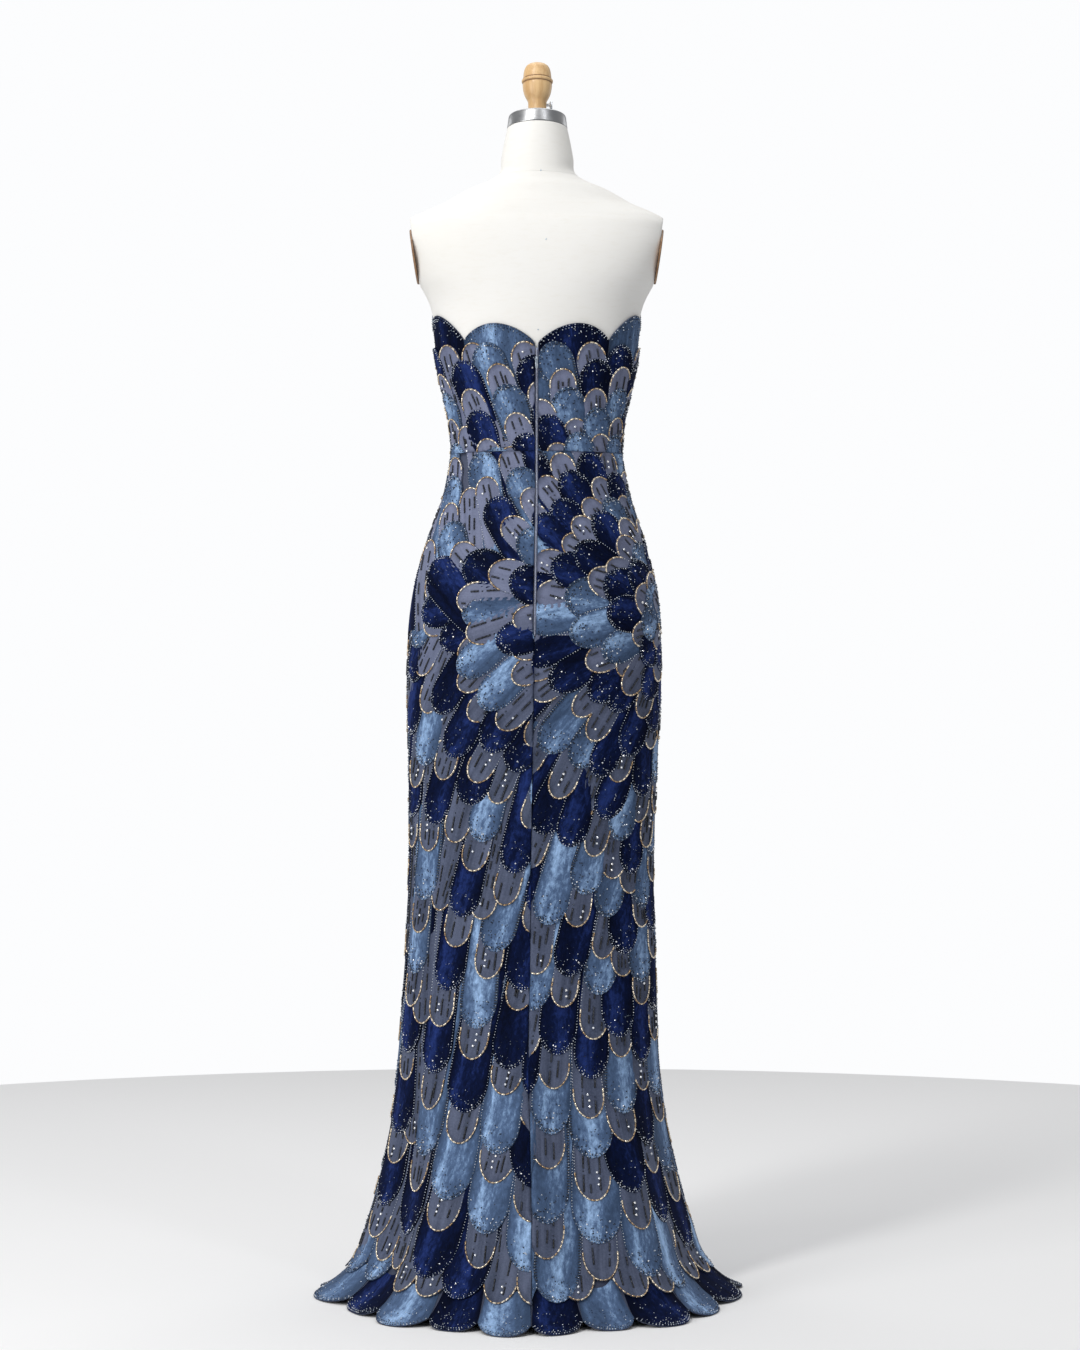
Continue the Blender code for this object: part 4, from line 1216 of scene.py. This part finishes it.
def streaksOf(i, rng):  # broken lines that lean a little, with a dot after some: (x, y, lean, is a dot)
    half, length, _ = petalSize(i)
    rows = []
    lines = int(rng.integers(2, 4))
    for line in range(lines):
        offset = (line + 0.5) / lines * 1.3 - 0.65 + rng.uniform(-0.15, 0.15)
        lean = rng.uniform(-0.07, 0.07)
        y = rng.uniform(0.01, 0.026)
        while y < length:
            for _ in range(int(rng.integers(2, 5))):
                rows.append((offset * half + lean * y, y, lean, 0))
                y += beadForm["streakPitch"]
            if rng.uniform() < 0.55:
                rows.append((offset * half + lean * y, y + 0.0025, lean, 1))
            y += rng.uniform(0.006, 0.02)
    return np.array(rows)


def itemRows(place, shape, longHalf, wideHalf, paint, keep=slice(None)):
    # a row for each item: x, y, x ahead, y ahead, shape, half length, half width, paint
    return np.stack(np.broadcast_arrays(*place, shape, longHalf, wideHalf, paint), -1)[keep]


def upright(x, y, lean=0.0):  # items that lie along the petal
    return x, y, x + lean * 0.001, y + 0.001


def sheerItems(i, rng):  # bugles round the tip, beads up the sides, dark streaks and a short line of crystals
    outline = outlineOf(i, beadForm["sheerInset"])
    arc = beadForm["arcReach"] * petals["pitch"][i] * (0.8 + 0.4 * petals["tone"][i])
    bugles = stepsAlong(*outline, beadForm["buglePitch"])
    seeds = stepsAlong(*outline, beadForm["edgePitch"])
    x, y, lean, dot = streaksOf(i, rng).T
    long, thick = (np.where(dot > 0, beadForm["dotRadius"], half) for half in beadForm["streakHalf"])
    count = int(rng.integers(0, 4))
    half = petals["width"][i] / 2
    stoneX = rng.uniform(-0.25, 0.35) * half + rng.uniform(-0.08, 0.08, count) * half
    stoneY = 0.012 + rng.uniform(0, 0.02) + 0.0085 * np.arange(count)
    radius, stoneRadius = beadForm["sheerRadius"], beadForm["stoneRadius"]
    return (
        itemRows(bugles, bugleShape, *beadForm["bugleHalf"], goldTube, bugles[1] < arc),
        itemRows(seeds, seedShape, radius, radius, silver, seeds[1] > arc),
        itemRows(upright(x, y, lean), 1 - dot, long, thick, np.where(dot > 0, ink, inkTube)),
        itemRows(upright(stoneX, stoneY), stoneShape, stoneRadius, stoneRadius, stoneKind),
    )


def velvetItems(i, rng):  # two rows along the edge, loose beads near the tip, some chips and stitches
    isNavy = petals["paint"][i] == navy
    length = petals["length"][i]
    second, stitch, chip = beadForm["second"], beadForm["stitch"], beadForm["chipRadius"]

    def inside(share, y):
        return share * halfWidthAt(i, np.minimum(y, length - 1e-4))

    edge = stepsAlong(*outlineOf(i, beadForm["edgeInset"]), beadForm["edgePitch"])
    nearTip = edge[1] < beadForm["nearTip"] * petals["pitch"][i]
    sizes = beadForm["edgeRadius"] * np.where(nearTip, 1.0, beadForm["sideShare"])
    dark = np.arange(len(sizes)) % (4 if isNavy else 2) == 0
    rows = [itemRows(edge, seedShape, sizes, sizes, np.where(dark & nearTip, ink, silver))]
    inner = stepsAlong(*outlineOf(i, second["inset"]), second["pitch"])
    close = inner[1] < second["reach"] + rng.uniform(-0.006, 0.006, len(inner[1]))
    paint = np.full(len(close), ink)
    paint[close] = np.where(rng.uniform(0, 1, close.sum()) < (0.42 if isNavy else 0.2), silver, ink)
    rows.append(itemRows(inner, seedShape, second["radius"], second["radius"], paint, close))
    count = beadForm["looseBeads"]
    y = 0.005 + beadForm["tipReach"] * rng.uniform(0, 1, count) ** 1.7
    x = inside(rng.uniform(-0.86, 0.86, count), y)
    sizes = rng.uniform(*beadForm["looseRadius"]["navy" if isNavy else "light"], count)
    loose = np.where(rng.uniform(0, 1, count) < (0.42 if isNavy else 0.22), silver, ink)
    rows.append(itemRows(upright(x, y), seedShape, sizes, sizes, loose))
    few = int(rng.integers(0, 3))
    y = rng.uniform(0.005, 0.026, few)
    x = inside(rng.uniform(-0.7, 0.7, few), y)
    rows.append(itemRows(upright(x, y), stoneShape, chip, chip, stoneKind))
    if not isNavy and petals["tone"][i] < 0.55:  # short stitches that stand across the sides
        x, y, xa, ya = stepsAlong(*outlineOf(i, stitch["inset"]), stitch["pitch"])
        rows.append(itemRows((x, y, x - (ya - y), y + (xa - x)), bugleShape, *stitch["half"], inkTube,
                             y > stitch["from"]))
    return rows


def covered(i, turn, up, lift):  # by another petal than i, or for a scallop (None) by any
    hidden = np.zeros(len(turn), bool)
    near = np.abs(petals["up"] - up.mean()) < 0.4  # farther than the longest petal and its own beads reach
    if i is not None:
        near &= petals["first"] == petals["first"][i]
    for j in np.flatnonzero(near):
        if j == i:
            continue
        x, y = toPetal(j, turn, up)
        inside = np.abs(x) < halfWidthAt(j, y) + 0.0004
        inside &= (up > petals["cutLow"][j]) & (up < petals["cutHigh"][j])
        inside &= (turn > petals["first"][j]) & (turn < petals["last"][j])
        if inside.any():
            hidden |= inside & (liftAt(j, x, y, turn, up) > lift)
    return hidden


def strew(pile, shapes, part, points, aheads, normals, items, tones):
    along = aheads - points
    along -= normals * (along * normals).sum(-1, keepdims=True)
    along /= np.linalg.norm(along, axis=-1, keepdims=True) + 1e-12
    across = np.cross(normals, along)
    for shape, (own, corners) in enumerate(shapes):
        rows = items[:, 4] == shape
        if not rows.any():
            continue
        flat = 0.85 if shape == seedShape else 1.0
        sizes = np.stack([items[rows, 5], items[rows, 6], items[rows, 6] * flat], -1)[:, None]
        sides = [side[rows][:, None] for side in (along, across, normals)]
        copies, faces = copiesOf(own, corners, points[rows], sides, sizes)
        name = ("bugles_" if shape == bugleShape else "beads_") + part
        pile.add(name, copies, faces, np.repeat(items[rows, 7].astype(int), len(corners)),
                 (np.repeat(tones[rows], len(own)),))


def makeBeads():
    shapes = smallShapes()
    pile = Pile("", ("tone",))
    itemDraws, rng = np.random.default_rng(23), np.random.default_rng(31)
    total = 0
    for i in range(petalCount):
        items = np.concatenate((sheerItems if petals["paint"][i] == sheer else velvetItems)(i, itemDraws))
        turn, up = toSkin(i, items[:, 0], items[:, 1])
        turnAhead, upAhead = toSkin(i, items[:, 2], items[:, 3])
        low, high = petals["first"][i], petals["last"][i]
        edge = np.clip((beadForm["seamRoom"] + items[:, 5]) / panelReach(i, up), 0, 3)
        zipRoom = np.where(zAtUp(up) > gown["zipBottomZ"], beadForm["zipRoom"] / panelReach(i, up), 0.0)
        keep = (turn > low + edge + zipRoom * (low == 0)) & (turn < high - edge - zipRoom * (high == 360))
        cutRoom = beadForm["cutRoom"]
        keep &= (up > petals["cutLow"][i] + cutRoom) & (up < petals["cutHigh"][i] - cutRoom)
        keep &= items[:, 1] < petals["length"][i] - beadForm["rootRoom"]
        items, turn, up, turnAhead, upAhead = (one[keep] for one in (items, turn, up, turnAhead, upAhead))
        if not len(items):
            continue
        lift = liftAt(i, items[:, 0], items[:, 1], turn, up)
        seen = ~covered(i, turn, up, lift)
        if not seen.any():
            continue
        items, middles = items[seen], lift[seen] + items[seen, 6] * beadForm["sunk"]
        points, normals = skinPlace(turn[seen], up[seen], middles)
        aheads, _ = skinPlace(turnAhead[seen], upAhead[seen], middles)
        strew(pile, shapes, partOf(i), points, aheads, normals, items, rng.uniform(0, 1, len(items)))
        total += len(items)
    for lobe in edgeLobes:
        total += beadLobe(pile, shapes, lobe, rng)
    print("beads and bugles:", total)
    return pile.build(list(beadKinds))


lobeBeads = {
    "radiusAt": {"hem": 0.29, "top": 0.125},  # the body's, for the length of an edge
    "rows": ((0.0016, 0.0041, 0.00115), (0.0054, 0.0044, 0.00112)),  # inset, pitch, bead's radius
    "edgeShadeShare": 1.12,  # length of the curved edge for each width
    "loose": 40,
}


def beadLobe(pile, shapes, lobe, rng):
    width = math.radians(lobe["last"] - lobe["first"]) * lobeBeads["radiusAt"][lobe["place"]]
    rows = []
    for inset, pitch, radius in lobeBeads["rows"]:
        count = int(width * lobeBeads["edgeShadeShare"] / pitch)
        u = (np.arange(count) + 0.5) / count * 2 - 1
        rows.append(np.stack([u * (1 - inset / width), np.full(count, inset), np.full(count, radius)], -1))
    count = lobeBeads["loose"]
    rows.append(np.stack([rng.uniform(-0.85, 0.85, count), 0.008 + 0.034 * rng.uniform(0, 1, count) ** 1.6,
                          rng.uniform(0.0006, 0.0012, count)], -1))
    u, y, radius = np.concatenate(rows).T
    lift = lobeLift(u, y)
    points, normals, angle, up = lobePoint(lobe, u, y, lift + radius * beadForm["sunk"])
    aheads = lobePoint(lobe, u + 0.01, y, lift + radius * beadForm["sunk"])[0]
    seen = ~covered(None, turnAt(angle, up), up, lift)
    share = 0.62 if lobe["paint"] == navy else 0.35
    paint = np.where(rng.uniform(0, 1, len(u)) < share, silver, ink)
    items = itemRows((u, y, u, y), seedShape, radius, radius, paint)
    strew(pile, shapes, lobe["part"], *(one[seen] for one in (points, aheads, normals, items)),
          rng.uniform(0, 1, seen.sum()))
    return int(seen.sum())


beadPieces = makeBeads()
print("bead pieces:", {name: len(piece.data.polygons) for name, piece in beadPieces.items()})


# The dress form's canvas, from the same table a little further in

torso = {
    "around": 192,
    "footZ": 0.93,
    "inset": 0.0024,
    "lowRings": 40,
    "highRings": 110,
    "splitRow": 22.5,
    "armSpan": (1.4, 1.6),  # levels between which the arms' flats cut it
    "armFoot": (0.1727, 1.484),  # two points of the flat at an arm, in x and z
    "armTop": (0.1852, 1.572),
    "plateZ": 1.519,
    "plateY": -0.004,
    "plateSize": (0.08, 0.106),
    "pins": [(0.0065, 1.64), (0.0062, 1.534), (0.0025, 1.402)],
    "pinRadius": 0.0011,
    "neckSeamRow": 31.7,
    "neckSeamRadius": 0.00035,
}


def torsoPoint(angle, row, out=0.0):
    normal = bodyNormal(angle, row, False)
    points = bodyPoint(angle, row, False) - normal * (torso["inset"] - out)
    (footX, footZ), (topX, topZ) = torso["armFoot"], torso["armTop"]
    flat = footX + (points[..., 2] - footZ) * (topX - footX) / (topZ - footZ)
    low, high = torso["armSpan"]
    limit = np.where((points[..., 2] > low) & (points[..., 2] < high), flat, 1.0)
    points[..., 0] = np.clip(points[..., 0], -limit, limit)
    return points


def makeTorso():
    angles = np.linspace(0, math.tau, torso["around"], endpoint=False)
    rows = np.concatenate([np.linspace(rowAtZ(torso["footZ"]), torso["splitRow"], torso["lowRings"]),
                           np.linspace(torso["splitRow"], len(bodyRows) - 1, torso["highRings"])[1:]])
    points = torsoPoint(angles[None, :], rows[:, None])
    points[0, :, 2] = torso["footZ"]
    faces = tubeFaces(*points.shape[:2])
    piece = meshPiece("torsoCanvas", points.reshape(-1, 3), faces, ["canvasCloth"])
    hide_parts("form_body")
    return piece


def ropeAlong(points, normals, radius, sides=6):  # a thin closed cord through the points
    aside = np.cross(normals, unit(np.roll(points, -1, 0) - np.roll(points, 1, 0)))
    turn = np.linspace(0, math.tau, sides, endpoint=False)
    ring = points[:, None] + radius * (np.cos(turn)[None, :, None] * normals[:, None]
                                       + np.sin(turn)[None, :, None] * aside[:, None])
    index = gridIndex(len(points), sides)
    along, over = np.roll(index, -1, 0), np.roll(index, -1, 1)
    return ring.reshape(-1, 3), np.stack([index, over, np.roll(along, -1, 1), along], -1).reshape(-1, 4)


def makeTorsoSeam():
    angles = np.linspace(0, math.tau, 240, endpoint=False)
    row = np.full_like(angles, torso["neckSeamRow"])
    points, faces = ropeAlong(torsoPoint(angles, row, -0.00005), bodyNormal(angles, row, False),
                              torso["neckSeamRadius"])
    return meshPiece("torsoNeckSeam", points, faces, ["canvasCloth"])


# Hard pieces, from bpy.ops

smoothUnder = 32  # degrees


def settle(piece, name, material, node=None, body=mainBody, frameMatrix=None):
    only(piece)
    piece.name = name
    piece.data.name = name
    if frameMatrix is not None:
        piece.matrix_world = frameMatrix @ piece.matrix_world
    bpy.ops.object.transform_apply(location=True, rotation=True, scale=True)
    bpy.ops.object.shade_smooth_by_angle(angle=math.radians(smoothUnder))
    piece.data.materials.clear()
    piece.data.materials.append(finishes[material])
    seat(piece, body, (node,) if node else ())


def applied(piece, kind, **settings):
    only(piece)
    modifier = piece.modifiers.new(kind, kind)
    for key, value in settings.items():
        setattr(modifier, key, value)
    bpy.ops.object.modifier_apply(modifier=modifier.name)
    return piece


def spun(profile, steps):  # a solid turned about Z from (radius, height) points
    bpy.ops.mesh.primitive_plane_add(size=1)
    piece = bpy.context.object
    data = bpy.data.meshes.new("profile")
    data.from_pydata([(r, 0.0, z) for r, z in profile], [(k, k + 1) for k in range(len(profile) - 1)], [])
    piece.data = data
    only(piece)
    bpy.ops.object.mode_set(mode="EDIT")
    bpy.ops.mesh.select_all(action="SELECT")
    bpy.ops.mesh.spin(steps=steps, angle=math.tau, center=(0, 0, 0), axis=(0, 0, 1))
    bpy.ops.mesh.select_all(action="SELECT")
    bpy.ops.mesh.remove_doubles(threshold=1e-6)
    bpy.ops.mesh.normals_make_consistent(inside=False)
    bpy.ops.object.mode_set(mode="OBJECT")
    return piece


def box(size, place, bevel, segments):
    bpy.ops.mesh.primitive_cube_add(size=1, location=place)
    piece = bpy.context.object
    piece.scale = size
    bpy.ops.object.transform_apply(location=True, rotation=False, scale=True)
    return applied(piece, "BEVEL", width=bevel, segments=segments)


def joined(*pieces):
    only(*pieces)
    bpy.ops.object.join()
    return pieces[0]


armPlates = {"profile": [(0, 0), (0.985, 0), (1.0, 0.0003), (1.0, 0.0018), (0.988, 0.0026), (0.955, 0.003),
                         (0.93, 0.00285), (0.9, 0.0028), (0, 0.0029)], "gap": 0.0003}


def makeArmPlates():
    (footX, footZ), (topX, topZ) = torso["armFoot"], torso["armTop"]
    depth, height = torso["plateSize"]
    for end, side in (("Right", 1), ("Left", -1)):
        normal = Vector((side * (topZ - footZ), 0, footX - topX)).normalized()
        x = footX + (topX - footX) * (torso["plateZ"] - footZ) / (topZ - footZ)
        piece = spun(armPlates["profile"], 72)
        piece.scale = (height / 2, depth / 2, 1)
        piece.location = Vector((side * x, torso["plateY"], torso["plateZ"])) + normal * armPlates["gap"]
        piece.rotation_mode = "QUATERNION"
        piece.rotation_quaternion = normal.to_track_quat("Z", "Y")
        settle(piece, "armPlate" + end, "brownPlate", "form_arm_plate_" + end.lower())


neckTop = {
    "place": (0.001, 0.02, 1.71),
    "capAcross": (0.0446, 0.04414),
    "capProfile": [(0, 0.0003), (0.993, 0.0003), (1.0, 0.0008), (1.0, 0.0016), (0.956, 0.0168), (0.95, 0.018),
                   (0.938, 0.0191), (0.915, 0.0199), (0.86, 0.0206), (0.5, 0.0209), (0, 0.0209)],
    "knobFoot": 0.0211,
    "knobProfile": [
        (0, 0), (0.0138, 0), (0.0143, 0.0005), (0.0143, 0.002), (0.0138, 0.0027), (0.0133, 0.0031), (0.0134, 0.012),
        (0.0136, 0.021), (0.0148, 0.0238), (0.0165, 0.027), (0.0183, 0.0305), (0.0196, 0.034), (0.0207, 0.0385),
        (0.0214, 0.043), (0.0217, 0.0462), (0.0217, 0.0487), (0.0213, 0.0494), (0.021, 0.0499), (0.0214, 0.0505),
        (0.0226, 0.0513), (0.0231, 0.0522), (0.0232, 0.0532), (0.0231, 0.0543), (0.0225, 0.0551), (0.0212, 0.0557),
        (0.0206, 0.0562), (0.0208, 0.0568), (0.0209, 0.058), (0.0206, 0.062), (0.0202, 0.0655), (0.0194, 0.0695),
        (0.0182, 0.073), (0.0164, 0.076), (0.0134, 0.0784), (0.0096, 0.08), (0.0052, 0.0808), (0, 0.081),
    ],
    "grooves": (0.0499, 0.0562),
    "grooveReach": 0.0009,
    "screwUp": 0.017,
    "screwHole": (0.0066, 0.0026, 0.02),  # where it starts, its radius and its length
    "screwOut": 0.0066,
    "screwProfile": [(0, 0), (0.0022, 0), (0.0022, 0.0112), (0.0034, 0.0113), (0.0038, 0.0117), (0.0038, 0.0121),
                     (0.005, 0.0122), (0.0055, 0.0124), (0.0058, 0.0128), (0.0058, 0.015), (0.0055, 0.0155),
                     (0.005, 0.0157), (0.0046, 0.0155), (0.0043, 0.0153), (0, 0.0153)],
}


def makeNeckTop():
    neck = Matrix.Translation(neckTop["place"]) @ Matrix.Rotation(math.radians(-gown["neckTilt"]), 4, "X")
    cap = spun(neckTop["capProfile"], 128)
    cap.scale = (neckTop["capAcross"][0], neckTop["capAcross"][1], 1)
    settle(cap, "neckCap", "brushedSteel", "form_neck_cap", frameMatrix=neck)

    knob = spun(neckTop["knobProfile"], 96)
    start, radius, length = neckTop["screwHole"]
    bpy.ops.mesh.primitive_cylinder_add(vertices=24, radius=radius, depth=length, rotation=(0, math.pi / 2, 0),
                                        location=(start + length / 2, 0, neckTop["screwUp"]))
    drill = bpy.context.object
    applied(knob, "BOOLEAN", operation="DIFFERENCE", object=drill)
    bpy.data.objects.remove(drill)
    groove = []
    for vertex in knob.data.vertices:
        off = min(abs(vertex.co.z - level) for level in neckTop["grooves"]) / neckTop["grooveReach"]
        groove.append(math.exp(-off * off))
    knob.data.attributes.new("groove", "FLOAT", "POINT").data.foreach_set("value", groove)
    lift = Matrix.Translation((0, 0, neckTop["knobFoot"]))
    settle(knob, "turnedKnob", "turnedWood", "form_knob", frameMatrix=neck @ lift)

    screw = spun(neckTop["screwProfile"], 36)
    place = Matrix.Translation((neckTop["screwOut"], 0, neckTop["knobFoot"] + neckTop["screwUp"]))
    settle(screw, "thumbScrew", "screwMetal", "form_thumb_screw", "thumb_screw",
           neck @ place @ Matrix.Rotation(math.pi / 2, 4, "Y"))


stand = {
    "post": [(0, 0.0453), (0.0153, 0.0453), (0.016, 0.046), (0.016, 0.929), (0.0153, 0.9297), (0, 0.9297)],
    "base": [(0, 0), (0.1585, 0), (0.16, 0.0012), (0.16, 0.0076), (0.1594, 0.009), (0.158, 0.0099),
             (0.1565, 0.01), (0.0335, 0.01), (0.0312, 0.0108), (0.0302, 0.0128), (0.026, 0.044),
             (0.025, 0.045), (0, 0.045)],
}


def makeStand():
    settle(spun(stand["post"], 64), "standPost", "blackPaint", "form_post")
    settle(spun(stand["base"], 128), "standBase", "blackPaint", "form_base")


zipForm = {
    "low": 0.96,
    "high": 1.376,
    "tapeHalf": 0.0017,
    "tapeDepths": (0.0001, 0.0011),  # its two faces, under the cloth's outer face
    "toothPitch": 0.00095,
    "toothHalf": (0.0013, 0.0004, 0.00045),
    "toothAside": 0.00042,
    "toothLift": 0.0006,
    "slider": (0.005, 0.002, 0.009),
    "sliderPlace": (0.0, -0.09657, 1.359),
    "bridge": (0.00135, 0.00035, 1.7),  # the ring's radius, its wire's, and how much taller than wide it is
    "bridgeOut": 0.0008,
    "pivot": (0.0, -0.09903, 1.36096),
    "pullThick": (0.00033, 0.00012),  # half thickness of its plate, and the round past it
    "pullOutlines": (  # one side of the pull and of its window, from the pivot
        [(0.0013, 0.00035), (0.0016, 0.0001), (0.0017, -0.0004), (0.0016, -0.0033), (0.00165, -0.005),
         (0.0019, -0.0085), (0.0019, -0.0108), (0.0017, -0.0126), (0.0013, -0.0139), (0.0007, -0.0146),
         (0.0, -0.0147)],
        [(0.00095, -0.0007), (0.00105, -0.001), (0.00105, -0.0026), (0.0009, -0.003), (0.0004, -0.0032)],
    ),
}


def backPoint(z):
    rows = rowAtZ(z)
    return bodyPoint(np.zeros_like(rows), rows), bodyNormal(np.zeros_like(rows), rows)


def makeZipTape():
    levels = np.linspace(zipForm["low"], zipForm["high"], 90)
    middle, normal = backPoint(levels)
    outer, inner = zipForm["tapeDepths"]
    corners = [middle - normal * depth + np.array([side * zipForm["tapeHalf"], 0, 0])
               for side, depth in ((-1, outer), (1, outer), (1, inner), (-1, inner))]
    points = np.stack(corners, 1).reshape(-1, 3)
    tape = meshPiece("zipTape", points, tubeFaces(len(levels), 4), ["zipCloth"], smooth=False)
    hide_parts("zip_chain")


def makeZipTeeth():
    bpy.ops.mesh.primitive_uv_sphere_add(segments=8, ring_count=4, radius=1.0, rotation=(0, math.pi / 2, 0))
    levels = np.arange(zipForm["low"] + 0.001, zipForm["high"] - 0.001, zipForm["toothPitch"])
    middle, normal = backPoint(levels)
    upward = unit(np.gradient(middle, axis=0))
    aside = np.array([1.0, 0, 0])
    side = np.where(np.arange(len(levels)) % 2, zipForm["toothAside"], -zipForm["toothAside"])
    middle = middle + normal * zipForm["toothLift"] + side[:, None] * aside
    sides = (aside, upward[:, None], normal[:, None])
    points, faces = copiesOf(*shapeOf(), middle, sides, np.array(zipForm["toothHalf"])[None, None])
    meshPiece("zipTeeth", points, faces, ["zipCoil"])


def makeSlider():
    width, depth, height = zipForm["slider"]
    level = zipForm["sliderPlace"][2]
    ends, _ = backPoint(np.array([level - height / 2, level + height / 2]))
    lean = math.atan2(ends[0, 1] - ends[1, 1], ends[1, 2] - ends[0, 2])
    front = box((width, depth * 0.42, height), (0, -depth * 0.29, 0), 0.0005, 3)
    for vertex in front.data.vertices:  # narrower at its lower end, where the closed chain leaves
        vertex.co.x *= 1.0 - 0.24 * max(0.0, 0.3 - vertex.co.z / height)
    neck = box((width * 0.42, depth * 0.6, height * 0.5), (0, depth * 0.2, height * 0.18), 0.0003, 2)
    radius, wire, taller = zipForm["bridge"]
    bpy.ops.mesh.primitive_torus_add(major_radius=radius, minor_radius=wire, major_segments=28, minor_segments=10,
                                     rotation=(0, math.pi / 2, 0),
                                     location=(0, -depth / 2 - zipForm["bridgeOut"], height / 4))
    bridge = bpy.context.object
    bridge.scale = (1, 1, taller)
    seated = Matrix.Translation(zipForm["sliderPlace"]) @ Matrix.Rotation(lean, 4, "X")
    settle(joined(front, neck, bridge), "zipSlider", "zipMetal", "zip_slider", frameMatrix=seated)


def makePull():
    curve = bpy.data.curves.new("zipPull", "CURVE")
    curve.dimensions = "2D"
    curve.fill_mode = "BOTH"
    curve.extrude, curve.bevel_depth = zipForm["pullThick"]
    curve.bevel_resolution = 2
    for half in zipForm["pullOutlines"]:
        loop = half + [(-x, z) for x, z in reversed(half) if x > 0]
        line = curve.splines.new("POLY")
        line.points.add(len(loop) - 1)
        for point, (x, z) in zip(line.points, loop):
            point.co = (x, z, 0.0, 1.0)
        line.use_cyclic_u = True
    pull = bpy.data.objects.new("zipPull", curve)
    bpy.context.scene.collection.objects.link(pull)
    only(pull)
    bpy.ops.object.convert(target="MESH")
    pull = bpy.context.object
    pull.rotation_euler = (math.pi / 2, 0, 0)
    pull.location = zipForm["pivot"]
    settle(pull, "zipPullTab", "zipMetal", "zip_pull", "zip_pull")


def makePins():
    shapes = []
    for x, z in torso["pins"]:
        row = rowAtZ(z)
        angle = np.arcsin(np.clip((x - bodyAt("side", row)) / bodyAt("halfWidth", row), -1, 1))
        place = torsoPoint(np.array([angle]), np.array([row]), 0.0002)[0]
        bpy.ops.mesh.primitive_uv_sphere_add(segments=16, ring_count=8, radius=torso["pinRadius"], location=place)
        shapes.append(bpy.context.object)
    settle(joined(*shapes), "torsoPins", "zipMetal")


torsoPiece = makeTorso()
for make in (makeTorsoSeam, makeArmPlates, makeNeckTop, makeStand, makeZipTape, makeZipTeeth, makeSlider, makePull,
             makePins):
    make()
print("form, stand and zip")


def declareSheets():  # each panel's cloth, with what is sewn on it, gathered into a list that is not used; nothing is declared
    for node, shell in clothShells.items():
        sewn = [petalPieces[node], *(beadPieces[kind + node] for kind in ("beads_", "bugles_"))]
    print("sheets:", len(clothShells))


declareSheets()
